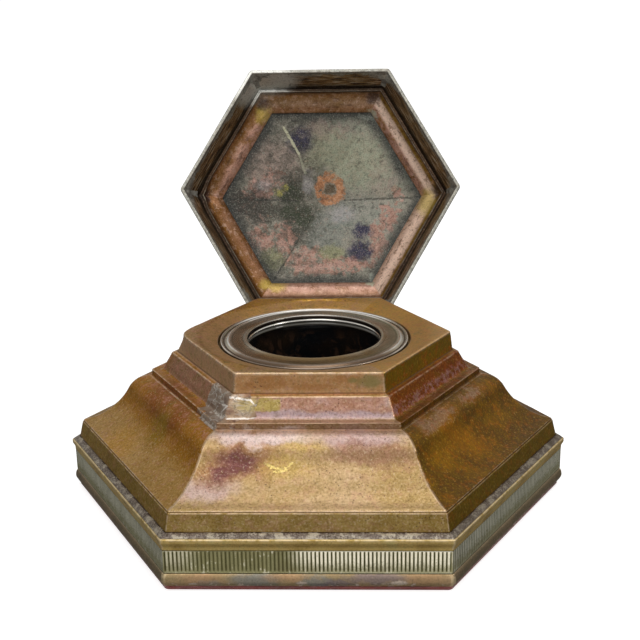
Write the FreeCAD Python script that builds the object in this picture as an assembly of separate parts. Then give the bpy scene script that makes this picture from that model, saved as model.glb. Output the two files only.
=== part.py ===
import FreeCAD, Part
import math
import os

os.makedirs("parts", exist_ok=True)
V = FreeCAD.Vector

# Hexagonal hinged inkwell.  Millimetres, +Z up, origin at the centre of the
# underside.  Two flat sides face -Y (front) and +Y (rear, hinge side), so two
# corners lie on the X axis.  "corner" sizes are measured from the centre to a
# corner of the hexagon; flat distances are corner * cos 30.

# ---- driving dimensions -------------------------------------------------
sides = 6
side_names = ["front", "front_right", "rear_right", "rear", "rear_left", "front_left"]

# plinth
baize_corner = 74.9
baize_thick = 1.3
base_plate_corner = 70.8
base_plate_thick = 1.2
plinth_inner_corner = 71.0
lower_moulding_top = 5.0
band_top = 11.7
plinth_top = 15.0
frieze_bottom = 16.2
plinth_corner = 76.0
band_corner = 75.2
band_thick = 1.2
flutes_per_side = 70
flute_depth = 0.34
flute_end_margin = 0.55
flute_groove_share = 0.46
solder_leg = 0.8

# body panels (soldered at the corners)
sheet_thick = 1.2
frieze_bottom_corner = 73.5
frieze_top_corner = 72.3
frieze_top = 21.2
bead_corner = 71.9
bead_top = 21.6
cyma = [(71.9, 21.6), (68.4, 22.6), (64.8, 24.4), (61.2, 27.2), (59.2, 29.3),
        (57.9, 31.1), (56.8, 32.9), (55.2, 34.6), (53.2, 35.9), (51.7, 36.5), (50.3, 36.8)]
fillet_corner = 49.8
lid_ledge = 38.1
cavetto = [(46.4, 38.1), (45.6, 39.3), (44.8, 40.7), (43.9, 42.2), (43.3, 43.4)]
block_bottom_corner = 41.5
block_bottom = 44.1
block_top_corner = 41.0
plate_bottom = 48.4
top_height = 49.6
plate_edge_round = 0.5

# round well in the top plate and the collar with the ink glass
well_radius = 28.9
dish_radius = 35.0
dish_low = 48.0
dish_under = 46.8
seat_tube_outer = 30.2
seat_bottom = 44.9
seat_top = 45.9
seat_hole = 25.7
collar_radius = 28.2
collar_mouth = 19.7
glass_outer = 23.5
glass_inner = 20.6
glass_top = 46.4
glass_bottom = 9.0
glass_floor = 3.5
cement_gap = 0.25

# lid, drawn shut and then swung open about the hinge line
skirt_corner = 48.1
skirt_lip = 1.6
skirt_rim_thick = 1.3
skirt_top = 11.0
skirt_top_corner = 45.1
skirt_top_inner = 43.7
cap_inner_corner = 36.5
cap_inner_edge = 16.8
cap_inner_apex = 23.6
cap_outer_corner = 37.3
cap_outer_edge = 17.9
cap_outer_apex = 24.8

# hinge
hinge_y = 45.6
hinge_z = 38.6
knuckle_radius = 1.8
pin_radius = 0.75
hinge_half_width = 12.0
lid_knuckle_half = 5.9
knuckle_gap = 0.2
open_angle = 113.3

cos30 = math.cos(math.radians(30.0))


# ---- helpers ------------------------------------------------------------
def save(shape, node):
    shape.exportStep("parts/" + node + ".step")


def flat_points(section):
    """Corner-radius section points turned into distances to the flat side."""
    return [(corner * cos30, z) for corner, z in section]


def section_edges(points, curves):
    """Closed edge loop through the points; runs listed in curves are splines."""
    vectors = [V(0, -d, z) for d, z in points]
    edges = []
    i = 0
    count = len(vectors)
    while i < count:
        run = curves.get(i)
        if run is None:
            edges.append(Part.makeLine(vectors[i], vectors[(i + 1) % count]))
            i += 1
        else:
            spline = Part.BSplineCurve()
            spline.interpolate(vectors[i:run + 1])
            edges.append(spline.toShape())
            i = run
    return edges


def side_strip(points, curves=None):
    """Strip of one flat side at the front, mitred at 30 degrees at both ends."""
    wire = Part.Wire(section_edges(points, curves or {}))
    reach = 60.0
    bar = Part.Face(wire).extrude(V(2 * reach, 0, 0))
    bar.translate(V(-reach, 0, 0))
    far = 90.0
    half = far * math.tan(math.radians(30.0))
    wedge = Part.makePolygon([V(0, 0, 0), V(-half, -far, 0), V(half, -far, 0), V(0, 0, 0)])
    wedge = Part.Face(wedge).extrude(V(0, 0, 100))
    strip = bar.common(wedge)
    return strip.Solids[0]


def on_side(shape, index):
    turned = shape.copy()
    turned.rotate(V(0, 0, 0), V(0, 0, 1), 60.0 * index)
    return turned


def hex_ring(points, curves=None):
    strip = side_strip(points, curves)
    ring = strip.multiFuse([on_side(strip, i) for i in range(1, sides)])
    return ring.removeSplitter().Solids[0]


def hex_plate(corner, bottom, thick):
    pts = []
    for i in range(sides + 1):
        a = math.radians(60.0 * i)
        pts.append(V(corner * math.cos(a), corner * math.sin(a), bottom))
    return Part.Face(Part.makePolygon(pts)).extrude(V(0, 0, thick))


def turned(section):
    """Solid of revolution about Z from a closed (radius, z) section."""
    pts = [V(r, 0, z) for r, z in section]
    face = Part.Face(Part.makePolygon(pts + [pts[0]]))
    return face.revolve(V(0, 0, 0), V(0, 0, 1), 360.0)


def inset_curve(points, depth):
    """Points moved inwards and down by depth, at right angles to the run."""
    moved = []
    for i, (d, z) in enumerate(points):
        before = points[max(i - 1, 0)]
        after = points[min(i + 1, len(points) - 1)]
        run = (after[0] - before[0], after[1] - before[1])
        size = math.hypot(run[0], run[1])
        moved.append((d - depth * run[1] / size, z + depth * run[0] / size))
    return moved


def prism_x(points, x0, x1):
    """Prism along X from (y, z) points."""
    pts = [V(x0, y, z) for y, z in points]
    return Part.Face(Part.makePolygon(pts + [pts[0]])).extrude(V(x1 - x0, 0, 0))


def rod_x(radius, x0, x1):
    return Part.makeCylinder(radius, x1 - x0, V(x0, hinge_y, hinge_z), V(1, 0, 0))


def swing_open(shape):
    opened = shape.copy()
    opened.rotate(V(0, hinge_y, hinge_z), V(1, 0, 0), -open_angle)
    return opened


# ---- plinth -------------------------------------------------------------
save(hex_plate(baize_corner, 0.0, baize_thick), "baize_pad")
save(hex_plate(base_plate_corner, baize_thick, base_plate_thick), "base_plate")

# half-round foot moulding
lower = flat_points([(75.5, baize_thick), (plinth_corner, 2.0), (76.2, 3.0), (plinth_corner, 4.2),
                     (75.3, lower_moulding_top), (plinth_inner_corner, lower_moulding_top),
                     (plinth_inner_corner, baize_thick)])
save(hex_ring(lower, {0: 4}), "plinth_lower_moulding")

# cove under a flat lip, with a sloping top that the frieze stands on
upper = flat_points([(75.3, band_top), (75.3, 12.2), (75.4, 12.7), (75.6, 13.2), (76.0, 13.6),
                     (plinth_corner, plinth_top), (frieze_bottom_corner, frieze_bottom),
                     (plinth_inner_corner, frieze_bottom), (plinth_inner_corner, band_top)])
save(hex_ring(upper, {1: 4}), "plinth_upper_moulding")


def fluted_strip():
    """Flat strip with upright square flutes and mitred ends."""
    front = band_corner * cos30
    back = front - band_thick
    half_front = front * math.tan(math.radians(30.0))
    half_back = back * math.tan(math.radians(30.0))
    pitch = (2 * half_front - 2 * flute_end_margin) / flutes_per_side
    groove = pitch * flute_groove_share
    rib = pitch - groove
    outline = [(-half_back, -back), (-half_front, -front)]
    x = -half_front + flute_end_margin
    for _ in range(flutes_per_side):
        outline.append((x + 0.5 * rib, -front))
        outline.append((x + 0.5 * rib + 0.15 * groove, -front + flute_depth))
        outline.append((x + 0.5 * rib + 0.85 * groove, -front + flute_depth))
        outline.append((x + 0.5 * rib + groove, -front))
        x += pitch
    outline += [(half_front, -front), (half_back, -back)]
    pts = [V(px, py, lower_moulding_top) for px, py in outline]
    face = Part.Face(Part.makePolygon(pts + [pts[0]]))
    return face.extrude(V(0, 0, band_top - lower_moulding_top))


flutes = fluted_strip()
for i, name in enumerate(side_names):
    save(on_side(flutes, i), "fluted_band_" + name)

# bead of solder in the angle between the plinth top and the frieze
slope = (plinth_top - frieze_bottom) / (plinth_corner - frieze_bottom_corner)
batter = (frieze_top_corner - frieze_bottom_corner) / (frieze_top - frieze_bottom)
toe = frieze_bottom_corner + solder_leg
seam = flat_points([(frieze_bottom_corner, frieze_bottom), (toe, frieze_bottom + slope * solder_leg),
                    (frieze_bottom_corner + 0.25, frieze_bottom + 0.35),
                    (frieze_bottom_corner + batter * solder_leg, frieze_bottom + solder_leg)])
save(hex_ring(seam), "plinth_solder_bead")

# ---- body panels --------------------------------------------------------
cyma_flat = flat_points(cyma)
cavetto_flat = flat_points(cavetto)
outer = flat_points([(frieze_bottom_corner, frieze_bottom), (frieze_top_corner, frieze_top),
                     (bead_corner, bead_top)])
outer += cyma_flat[1:]
outer += flat_points([(fillet_corner, lid_ledge)])
outer += cavetto_flat
outer += flat_points([(block_bottom_corner, block_bottom), (block_top_corner, plate_bottom)])
thick = sheet_thick
inner = [((block_top_corner * cos30) - thick, plate_bottom),
         ((block_bottom_corner * cos30) - thick, block_bottom - 0.6)]
inner += [(43.3 * cos30 - thick, 43.4 - 0.9), (46.4 * cos30 - thick, lid_ledge - thick),
          (50.0 * cos30 - 2 * thick, lid_ledge - thick)]
cyma_inset = inset_curve(cyma_flat, thick)
cyma_inset.reverse()
inner += cyma_inset[1:-1]
inner += [(bead_corner * cos30 - thick, bead_top - thick),
          (frieze_bottom_corner * cos30 - thick, frieze_bottom)]
section = outer + inner
cyma_last = 2 + len(cyma_flat) - 1
cavetto_first = cyma_last + 2
cavetto_last = cavetto_first + len(cavetto_flat) - 1
panel = side_strip(section, {2: cyma_last, cavetto_first: cavetto_last})
for i, name in enumerate(side_names):
    save(on_side(panel, i), "body_panel_" + name)

# ---- top plate and seat for the collar ----------------------------------
# the plate is flat along its edge and dished down to the well
plate = hex_plate(block_top_corner, dish_under, top_height - dish_under)
rim_edges = [e for e in plate.Edges if abs(e.BoundBox.ZMin - top_height) < 1e-6 and abs(e.BoundBox.ZMax - top_height) < 1e-6]
plate = plate.makeFillet(plate_edge_round, rim_edges)
dish = turned([(0.0, dish_low), (well_radius, dish_low), (dish_radius, top_height), (dish_radius, top_height + 2.0),
               (0.0, top_height + 2.0)])
below = turned([(well_radius - 2.0, dish_under - 1.0), (well_radius - 2.0, dish_under), (well_radius, dish_under),
                (dish_radius, plate_bottom), (60.0, plate_bottom), (60.0, dish_under - 1.0)])
well = Part.makeCylinder(well_radius, 10.0, V(0, 0, plate_bottom - 5.0))
save(plate.cut(dish).cut(below).cut(well), "top_plate")

save(turned([(seat_hole, seat_bottom), (seat_tube_outer, seat_bottom), (seat_tube_outer, dish_under),
             (well_radius, dish_under), (well_radius, seat_top), (seat_hole, seat_top)]),
     "collar_seat")

# ---- collar, glass and the cement between them --------------------------
collar_under = seat_top + 0.02
collar = [(25.3, collar_under), (collar_radius, collar_under), (collar_radius, 47.9), (27.95, 48.15),
          (27.6, 48.15), (27.2, 47.85), (26.8, 47.85), (26.2, 48.25), (25.6, 48.45), (24.8, 48.35), (23.0, 48.3),
          (21.2, 48.5), (20.5, 48.6), (20.1, 48.45), (20.0, 48.1), (20.0, 47.35), (collar_mouth, 47.1),
          (collar_mouth, 46.7), (20.1, 46.5), (23.75, 46.5), (23.75, 42.5), (25.3, 42.5)]
save(turned(collar), "collar_ring")
save(turned([(0.0, glass_bottom), (20.5, glass_bottom), (22.6, glass_bottom + 0.7),
             (glass_outer, glass_bottom + 2.6), (glass_outer, glass_top - 0.6),
             (glass_outer - 0.6, glass_top), (glass_inner + 0.6, glass_top),
             (glass_inner, glass_top - 0.6), (glass_inner, glass_bottom + glass_floor + 2.5),
             (glass_inner - 2.5, glass_bottom + glass_floor), (0.0, glass_bottom + glass_floor)]),
     "ink_glass")
save(turned([(glass_outer, 42.7), (glass_outer + cement_gap, 42.7),
             (glass_outer + cement_gap, glass_top - 0.8), (glass_outer, glass_top - 0.8)]),
     "glass_cement")

# ---- lid ----------------------------------------------------------------


def lid_section(points):
    return [(corner * cos30, lid_ledge + z) for corner, z in points]


skirt = side_strip(lid_section([(skirt_corner, 0.0), (skirt_corner, skirt_lip), (47.5, 2.0),
                                (skirt_top_corner, skirt_top), (skirt_top_inner, skirt_top),
                                (skirt_corner - skirt_rim_thick, 1.0),
                                (skirt_corner - skirt_rim_thick, 0.0)]))
for i, name in enumerate(side_names):
    save(swing_open(on_side(skirt, i)), "lid_skirt_" + name)

# ogee strip with a thin turned-down lip and a proud inner edge round the cap
ogee = lid_section([(42.9, 10.3), (42.9, skirt_top), (skirt_top_corner, skirt_top), (45.0, 12.0),
                    (43.9, 13.3), (41.3, 14.6), (39.0, 15.9), (38.0, 17.1), (37.7, 17.7),
                    (cap_outer_corner, cap_outer_edge), (cap_inner_corner, cap_inner_edge),
                    (36.4, 16.6), (35.5, 16.5), (35.4, 16.2), (36.3, 15.4), (37.7, 14.5),
                    (40.0, 13.5), (41.7, 12.4), (42.3, 11.4), (42.4, 10.3)])
ogee_strip = side_strip(ogee, {2: 8, 13: 19})
for i, name in enumerate(side_names):
    save(swing_open(on_side(ogee_strip, i)), "lid_ogee_" + name)


def cap_facet():
    """Triangular plate of the low pyramid, mitred against its neighbours."""
    def corner_point(corner, z, turn):
        a = math.radians(-120.0 + 60.0 * turn)
        return V(corner * math.cos(a), corner * math.sin(a), lid_ledge + z)

    in_a = corner_point(cap_inner_corner, cap_inner_edge, 0)
    in_b = corner_point(cap_inner_corner, cap_inner_edge, 1)
    out_a = corner_point(cap_outer_corner, cap_outer_edge, 0)
    out_b = corner_point(cap_outer_corner, cap_outer_edge, 1)
    in_top = V(0, 0, lid_ledge + cap_inner_apex)
    out_top = V(0, 0, lid_ledge + cap_outer_apex)
    loops = [[in_a, in_b, in_top], [out_a, out_b, out_top], [in_a, in_b, out_b, out_a],
             [in_a, out_a, out_top, in_top], [in_b, out_b, out_top, in_top]]
    faces = [Part.Face(Part.makePolygon(loop + [loop[0]])) for loop in loops]
    return Part.makeSolid(Part.makeShell(faces))


facet = cap_facet()
if facet.Volume < 0:
    facet.reverse()
for i, name in enumerate(side_names):
    save(swing_open(on_side(facet, i)), "lid_cap_" + name)

# ---- hinge --------------------------------------------------------------
side_x = lid_knuckle_half + knuckle_gap
reach = 49.0

# body leaf: bracket on the shoulder of the rear panel with two knuckles
bracket_top = hinge_z - knuckle_radius + 0.04
bracket = prism_x([(43.2, 33.0), (reach, 33.0), (reach, bracket_top), (43.2, bracket_top)],
                  -hinge_half_width, hinge_half_width)
lid_room = prism_x([(43.0, bracket_top - 0.25), (47.2, bracket_top - 0.25), (47.2, 40.0), (43.0, 40.0)],
                   -side_x, side_x)
body_leaf = bracket.cut(lid_room)
for x0, x1 in ((-hinge_half_width, -side_x), (side_x, hinge_half_width)):
    cheek = prism_x([(43.9, bracket_top - 0.3), (47.3, bracket_top - 0.3), (47.3, hinge_z),
                     (43.9, hinge_z)], x0, x1)
    body_leaf = body_leaf.fuse([rod_x(knuckle_radius, x0, x1), cheek])
envelope = Part.Face(Part.Wire(section_edges(
    outer + [(0.0, plate_bottom), (0.0, frieze_bottom)],
    {2: cyma_last, cavetto_first: cavetto_last}))).extrude(V(40, 0, 0))
envelope.translate(V(-20, 0, 0))
envelope.rotate(V(0, 0, 0), V(0, 0, 1), 180.0)
body_leaf = body_leaf.cut(envelope).cut(rod_x(pin_radius + 0.02, -20, 20))
save(body_leaf.removeSplitter().Solids[0], "hinge_body_leaf")

# lid leaf, drawn shut: plate soldered to the rear skirt, arm and one knuckle
slope_y = (skirt_top_corner - 47.5) * cos30 / (skirt_top - 2.0)
low = 2.4
high = 9.6
face_y = 47.5 * cos30
plate_leaf = prism_x([(face_y + slope_y * (low - 2.0), lid_ledge + low),
                      (face_y + slope_y * (low - 2.0) + 0.9, lid_ledge + low),
                      (face_y + slope_y * (high - 2.0) + 0.9, lid_ledge + high),
                      (face_y + slope_y * (high - 2.0), lid_ledge + high)],
                     -hinge_half_width, hinge_half_width)
arm_out = face_y + slope_y * (low - 2.0) + 0.5
arm = prism_x([(arm_out, lid_ledge + low), (hinge_y - 0.6, hinge_z + 0.2), (hinge_y, hinge_z + 1.7),
               (arm_out, lid_ledge + low + 2.0)], -lid_knuckle_half, lid_knuckle_half)
# heel that meets the bracket when the lid is fully back
heel_open = [(hinge_y, bracket_top + 0.02), (reach - 0.4, bracket_top + 0.02),
             (reach - 0.4, bracket_top + 1.1), (hinge_y + 1.2, hinge_z + 0.4), (hinge_y, hinge_z)]
heel = prism_x(heel_open, -lid_knuckle_half, lid_knuckle_half)
lid_leaf = swing_open(plate_leaf.fuse([arm, rod_x(knuckle_radius, -lid_knuckle_half, lid_knuckle_half)]))
room = prism_x([(hinge_y, 30.0), (60.0, 30.0), (60.0, bracket_top + 0.02), (hinge_y, bracket_top + 0.02)],
               -20, 20)
lid_leaf = lid_leaf.fuse(heel).cut(room)
lid_leaf = lid_leaf.cut(rod_x(pin_radius + 0.05, -20, 20))
save(lid_leaf.removeSplitter().Solids[0], "hinge_lid_leaf")

pin = rod_x(pin_radius, -hinge_half_width - 0.4, hinge_half_width + 0.4)
save(pin, "hinge_pin")
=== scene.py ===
import bmesh
import bpy
import math
from mathutils import Matrix, Vector, noise


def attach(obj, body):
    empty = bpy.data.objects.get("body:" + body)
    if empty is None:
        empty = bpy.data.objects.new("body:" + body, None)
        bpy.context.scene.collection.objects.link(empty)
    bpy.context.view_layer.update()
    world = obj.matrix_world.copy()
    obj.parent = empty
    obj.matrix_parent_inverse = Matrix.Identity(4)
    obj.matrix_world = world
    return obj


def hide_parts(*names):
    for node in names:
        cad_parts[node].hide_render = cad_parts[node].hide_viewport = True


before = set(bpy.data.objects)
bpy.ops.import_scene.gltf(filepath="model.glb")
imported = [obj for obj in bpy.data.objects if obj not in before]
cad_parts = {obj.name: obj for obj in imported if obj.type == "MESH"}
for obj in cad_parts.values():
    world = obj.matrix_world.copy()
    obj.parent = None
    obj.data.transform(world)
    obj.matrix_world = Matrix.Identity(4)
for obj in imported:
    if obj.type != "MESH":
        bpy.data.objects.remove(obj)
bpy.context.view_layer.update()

# Sizes are millimetres in the part's frame, drawn with the lid shut; "corner" sizes run
# from the centre to a corner of the hexagon.
MM = 0.001
C30 = math.cos(math.radians(30.0))
T30 = math.tan(math.radians(30.0))
SIDES = ["front", "front_right", "rear_right", "rear", "rear_left", "front_left"]
HINGE_Y, HINGE_Z = 45.6, 38.6
OPEN_TURN = math.radians(-113.3)
LEDGE = 38.1
NEAR = 0.4          # how far from an arris its worn brightness has gone
SHARP = math.radians(38.0)


def to_open(p):
    """A point of the shut lid, swung open about the hinge line."""
    y, z = p[1] - HINGE_Y, p[2] - HINGE_Z
    c, s = math.cos(OPEN_TURN), math.sin(OPEN_TURN)
    return Vector((p[0], HINGE_Y + c * y - s * z, HINGE_Z + s * y + c * z))


# ---------------------------------------------------------------- sections
def smooth_curve(pts, step=0.7):
    """Points along a Catmull-Rom curve through pts."""
    pts = [Vector(p) for p in pts]
    ext = [2 * pts[0] - pts[1]] + pts + [2 * pts[-1] - pts[-2]]
    out = []
    for i in range(1, len(ext) - 2):
        a, b, c, d = ext[i - 1:i + 3]
        n = max(2, int((c - b).length / step))
        for j in range(n):
            t = j / n
            out.append(0.5 * (2 * b + (c - a) * t + (2 * a - 5 * b + 4 * c - d) * t * t
                              + (3 * b - a - 3 * c + d) * t ** 3))
    out.append(pts[-1])
    return out


class Row:
    """A point of a section: d from the axis and z up, wear (worn arris above 0, crease below),
    lift (share of the bump), inner face, and mix, which draws the hexagon towards a circle."""

    def __init__(self, d, z, wear=0.0, lift=1.0, inner=0.0, mix=0.0, ring=0.0):
        self.d, self.z, self.wear, self.lift = d, z, wear, lift
        self.inner, self.mix, self.ring = inner, mix, ring
        self.nd, self.nz = 1.0, 0.0


def section(spec, scale=C30, step=1.4, closed=True):
    """Rows round a closed section. spec holds corners (size, z, round, wear, extras), of which
    the last three may be left out, and smooth curves [(size, z), ...] or ([(size, z), ...], extras)."""
    pts = []
    for item in spec:
        if isinstance(item, list) or isinstance(item[0], list):
            curve, extra = item if isinstance(item, tuple) else (item, {})
            for q in smooth_curve([(s * scale, z) for s, z in curve]):
                pts.append((q.x, q.y, 0.0, 0.0, extra))
        else:
            s, z, r, w, extra = (*item, *(0, 0, {})[len(item) - 2:])
            pts.append((s * scale, z, r, w, extra))
    rows = []
    n = len(pts)
    for i, (d, z, r, w, extra) in enumerate(pts):
        here = Vector((d, z))
        if r <= 0:
            rows.append(Row(d, z, w, **extra))
            continue
        before, after = Vector(pts[i - 1][:2]), Vector(pts[(i + 1) % n][:2])
        ra = min(r, 0.45 * (before - here).length)
        rb = min(r, 0.45 * (after - here).length)
        a = here + (before - here).normalized() * ra
        b = here + (after - here).normalized() * rb
        for t in (0.0, 0.25, 0.5, 0.75, 1.0):
            q = a * (1 - t) ** 2 + here * 2 * t * (1 - t) + b * t * t
            rows.append(Row(q.x, q.y, w * (0.6 if t in (0.0, 1.0) else 1.0), **extra))
    full = []
    count = len(rows)
    for i in range(count if closed else count - 1):
        a, b = rows[i], rows[(i + 1) % count]
        full.append(a)
        gap = math.hypot(b.d - a.d, b.z - a.z)
        cuts = []
        if a.wear and gap > 2.5 * NEAR:
            cuts.append(NEAR / gap)
        if b.wear and gap > 2.5 * NEAR:
            cuts.append(1 - NEAR / gap)
        n = int(gap / step)
        clear = NEAR / gap * 1.3
        cuts += [j / (n + 1) for j in range(1, n + 1) if clear < j / (n + 1) < 1 - clear]
        for t in sorted(cuts):
            full.append(Row(a.d + (b.d - a.d) * t, a.z + (b.z - a.z) * t, 0.0,
                            a.lift + (b.lift - a.lift) * t, a.inner + (b.inner - a.inner) * t,
                            a.mix + (b.mix - a.mix) * t, a.ring + (b.ring - a.ring) * t))
    if not closed:
        full.append(rows[-1])
    area = sum(full[i - 1].d * full[i].z - full[i].d * full[i - 1].z for i in range(len(full)))
    turn = 1.0 if area > 0 else -1.0
    for i, row in enumerate(full):
        a, b = full[i - 1], full[(i + 1) % len(full)]
        run = Vector((b.d - a.d, b.z - a.z))
        if run.length > 1e-9:
            run.normalize()
            row.nd, row.nz = run.y * turn, -run.x * turn
    return full


# ---------------------------------------------------------------- columns along a side
def side_columns(count, turns=4):
    """Columns (kind, place, turn) along one side, with half a rounded corner at each end."""
    cols = [("arc", -1, 30.0 * (turns - i) / turns) for i in range(turns + 1)]
    cols += [("run", -1.0 + 2.0 * i / count, 0.0) for i in range(count + 1)]
    cols += [("arc", 1, 30.0 * i / turns) for i in range(turns + 1)]
    return cols


def outline(d, col, rho):
    """(along, out, turn in degrees, corner wear) of a column at distance d from the axis."""
    half = d * T30
    rho = min(rho, 0.45 * d)
    straight = half - rho * T30
    if col[0] == "run":
        near = min(NEAR, 0.2 * straight)
        return col[1] * (straight - near), d, 0.0, 0.0
    beta = math.radians(col[2])
    return (col[1] * (straight + rho * math.sin(beta)), d - rho + rho * math.cos(beta),
            col[1] * col[2], 0.6 if col[2] == 0 else 1.0)


def ripple(p, size=0.05):
    """Slight hand-made unevenness of sheet metal, in millimetres."""
    return size * (noise.noise(p * 0.06) * 1.3 + noise.noise(p * 0.19 + Vector((7, 3, 1))) * 0.7
                   + noise.noise(p * 0.55 + Vector((1, 9, 4))) * 0.28)


BLOCK_CORNER, BLOCK_FOOT = 41.0, 43.8     # corner size of the top block and its lowest height
DENT_DEPTH, DENT_REACH = 1.5, 7.5


def knocked(p):
    """How far the knocked left corner of the block is pushed in."""
    away = math.hypot(p.x + BLOCK_CORNER, p.y)
    rise = min(1.0, max(0.0, (p.z - BLOCK_FOOT) / 4.0))
    return DENT_DEPTH * max(0.0, 1.0 - away / DENT_REACH) ** 2 * rise


def place(row, col, rho, side, bump):
    """The point where a row crosses a column of a side, and its wear."""
    along, out, turn, corner = outline(row.d, col, rho)
    angle = math.radians(-90.0 + 60.0 * side)
    n = Vector((math.cos(angle), math.sin(angle), 0))
    t = Vector((-math.sin(angle), math.cos(angle), 0))
    p = n * out + t * along
    if row.mix:
        flat = p.normalized() * row.ring
        p = p.lerp(flat, row.mix)
    p.z = row.z
    if p.x < -34 and p.z > BLOCK_FOOT:
        p.x += knocked(p)
    a2 = angle + math.radians(turn)
    normal = Vector((math.cos(a2) * row.nd, math.sin(a2) * row.nd, row.nz))
    if row.lift and bump:
        p += normal * bump(p) * row.lift
    wear = row.wear
    if row.inner < 0.5 and corner and wear >= 0 and row.nd > 0.05:
        wear = max(wear, corner * 0.75)
    return p, wear


def mesh_object(name, points, faces, wears, inners, lid=False, ribs=None, weld=False):
    mesh = bpy.data.meshes.new(name)
    shown = [to_open(p) if lid else p for p in points]
    mesh.from_pydata([tuple(p * MM) for p in shown], [], faces)
    for label, values in (("wear", wears), ("inner", inners), ("rib", ribs)):
        if values:
            mesh.attributes.new(label, "FLOAT", "POINT").data.foreach_set("value", values)
    flat = [c for p in points for c in p]
    mesh.attributes.new("lp", "FLOAT_VECTOR", "POINT").data.foreach_set("vector", flat)
    bm = bmesh.new()
    bm.from_mesh(mesh)
    if weld:
        bmesh.ops.remove_doubles(bm, verts=bm.verts, dist=1e-6)
        bmesh.ops.dissolve_degenerate(bm, edges=bm.edges, dist=1e-7)
    bmesh.ops.recalc_face_normals(bm, faces=bm.faces)
    for face in bm.faces:
        face.smooth = True
    bm.to_mesh(mesh)
    bm.free()
    mesh.set_sharp_from_angle(angle=SHARP)
    obj = bpy.data.objects.new(name, mesh)
    bpy.context.scene.collection.objects.link(obj)
    return obj


def sweep(name, rows, side=None, count=40, rho=0.6, bump=ripple, lid=False, columns=None, rib=None,
          rho_at=None):
    """A section swept along one mitred side, or right round the hexagon when side is None."""
    ring = side is None and columns is None
    if ring:
        cols = [(k, c) for k in range(6) for c in side_columns(count)[:-1]]
    elif side is None:
        cols = columns
    else:
        cols = [(side, c) for c in (columns or side_columns(count))]
    points, wears, inners, ribs = [], [], [], []
    for k, col in cols:
        for row in rows:
            r = (rho_at(row) if rho_at else rho) if row.inner < 0.5 else 0.3
            p, wear = place(row, col[:3], r, k, bump)
            if rib:
                p, height = rib(p, row, col, k)
                ribs.append(height)
            points.append(p)
            wears.append(wear)
            inners.append(row.inner)
    m, n = len(rows), len(cols)
    faces = []
    for i in range(n if ring else n - 1):
        a, b = i * m, ((i + 1) % n) * m
        for j in range(m):
            j2 = (j + 1) % m
            faces.append((a + j, a + j2, b + j2, b + j))
    if not ring:
        faces.append(tuple(range(m)))
        faces.append(tuple(range((n - 1) * m, n * m)))
    return mesh_object(name, points, faces, wears, inners, lid, ribs or None)


def revolve(name, rows, count, bump=None):
    points, wears, inners = [], [], []
    axis = [i for i, r in enumerate(rows) if r.d < 1e-6]
    m = len(rows)
    for i in range(count):
        a = 2 * math.pi * i / count
        for row in rows:
            p = Vector((row.d * math.cos(a), row.d * math.sin(a), row.z))
            if bump:
                p += Vector((math.cos(a) * row.nd, math.sin(a) * row.nd, row.nz)) * bump(p)
            points.append(p)
            wears.append(row.wear)
            inners.append(row.inner)
    faces = []
    for i in range(count):
        a, b = i * m, ((i + 1) % count) * m
        for j in range(m):
            j2 = (j + 1) % m
            if j in axis and j2 in axis:
                continue
            faces.append((a + j, a + j2, b + j2, b + j))
    return mesh_object(name, points, faces, wears, inners, weld=bool(axis))


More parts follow.
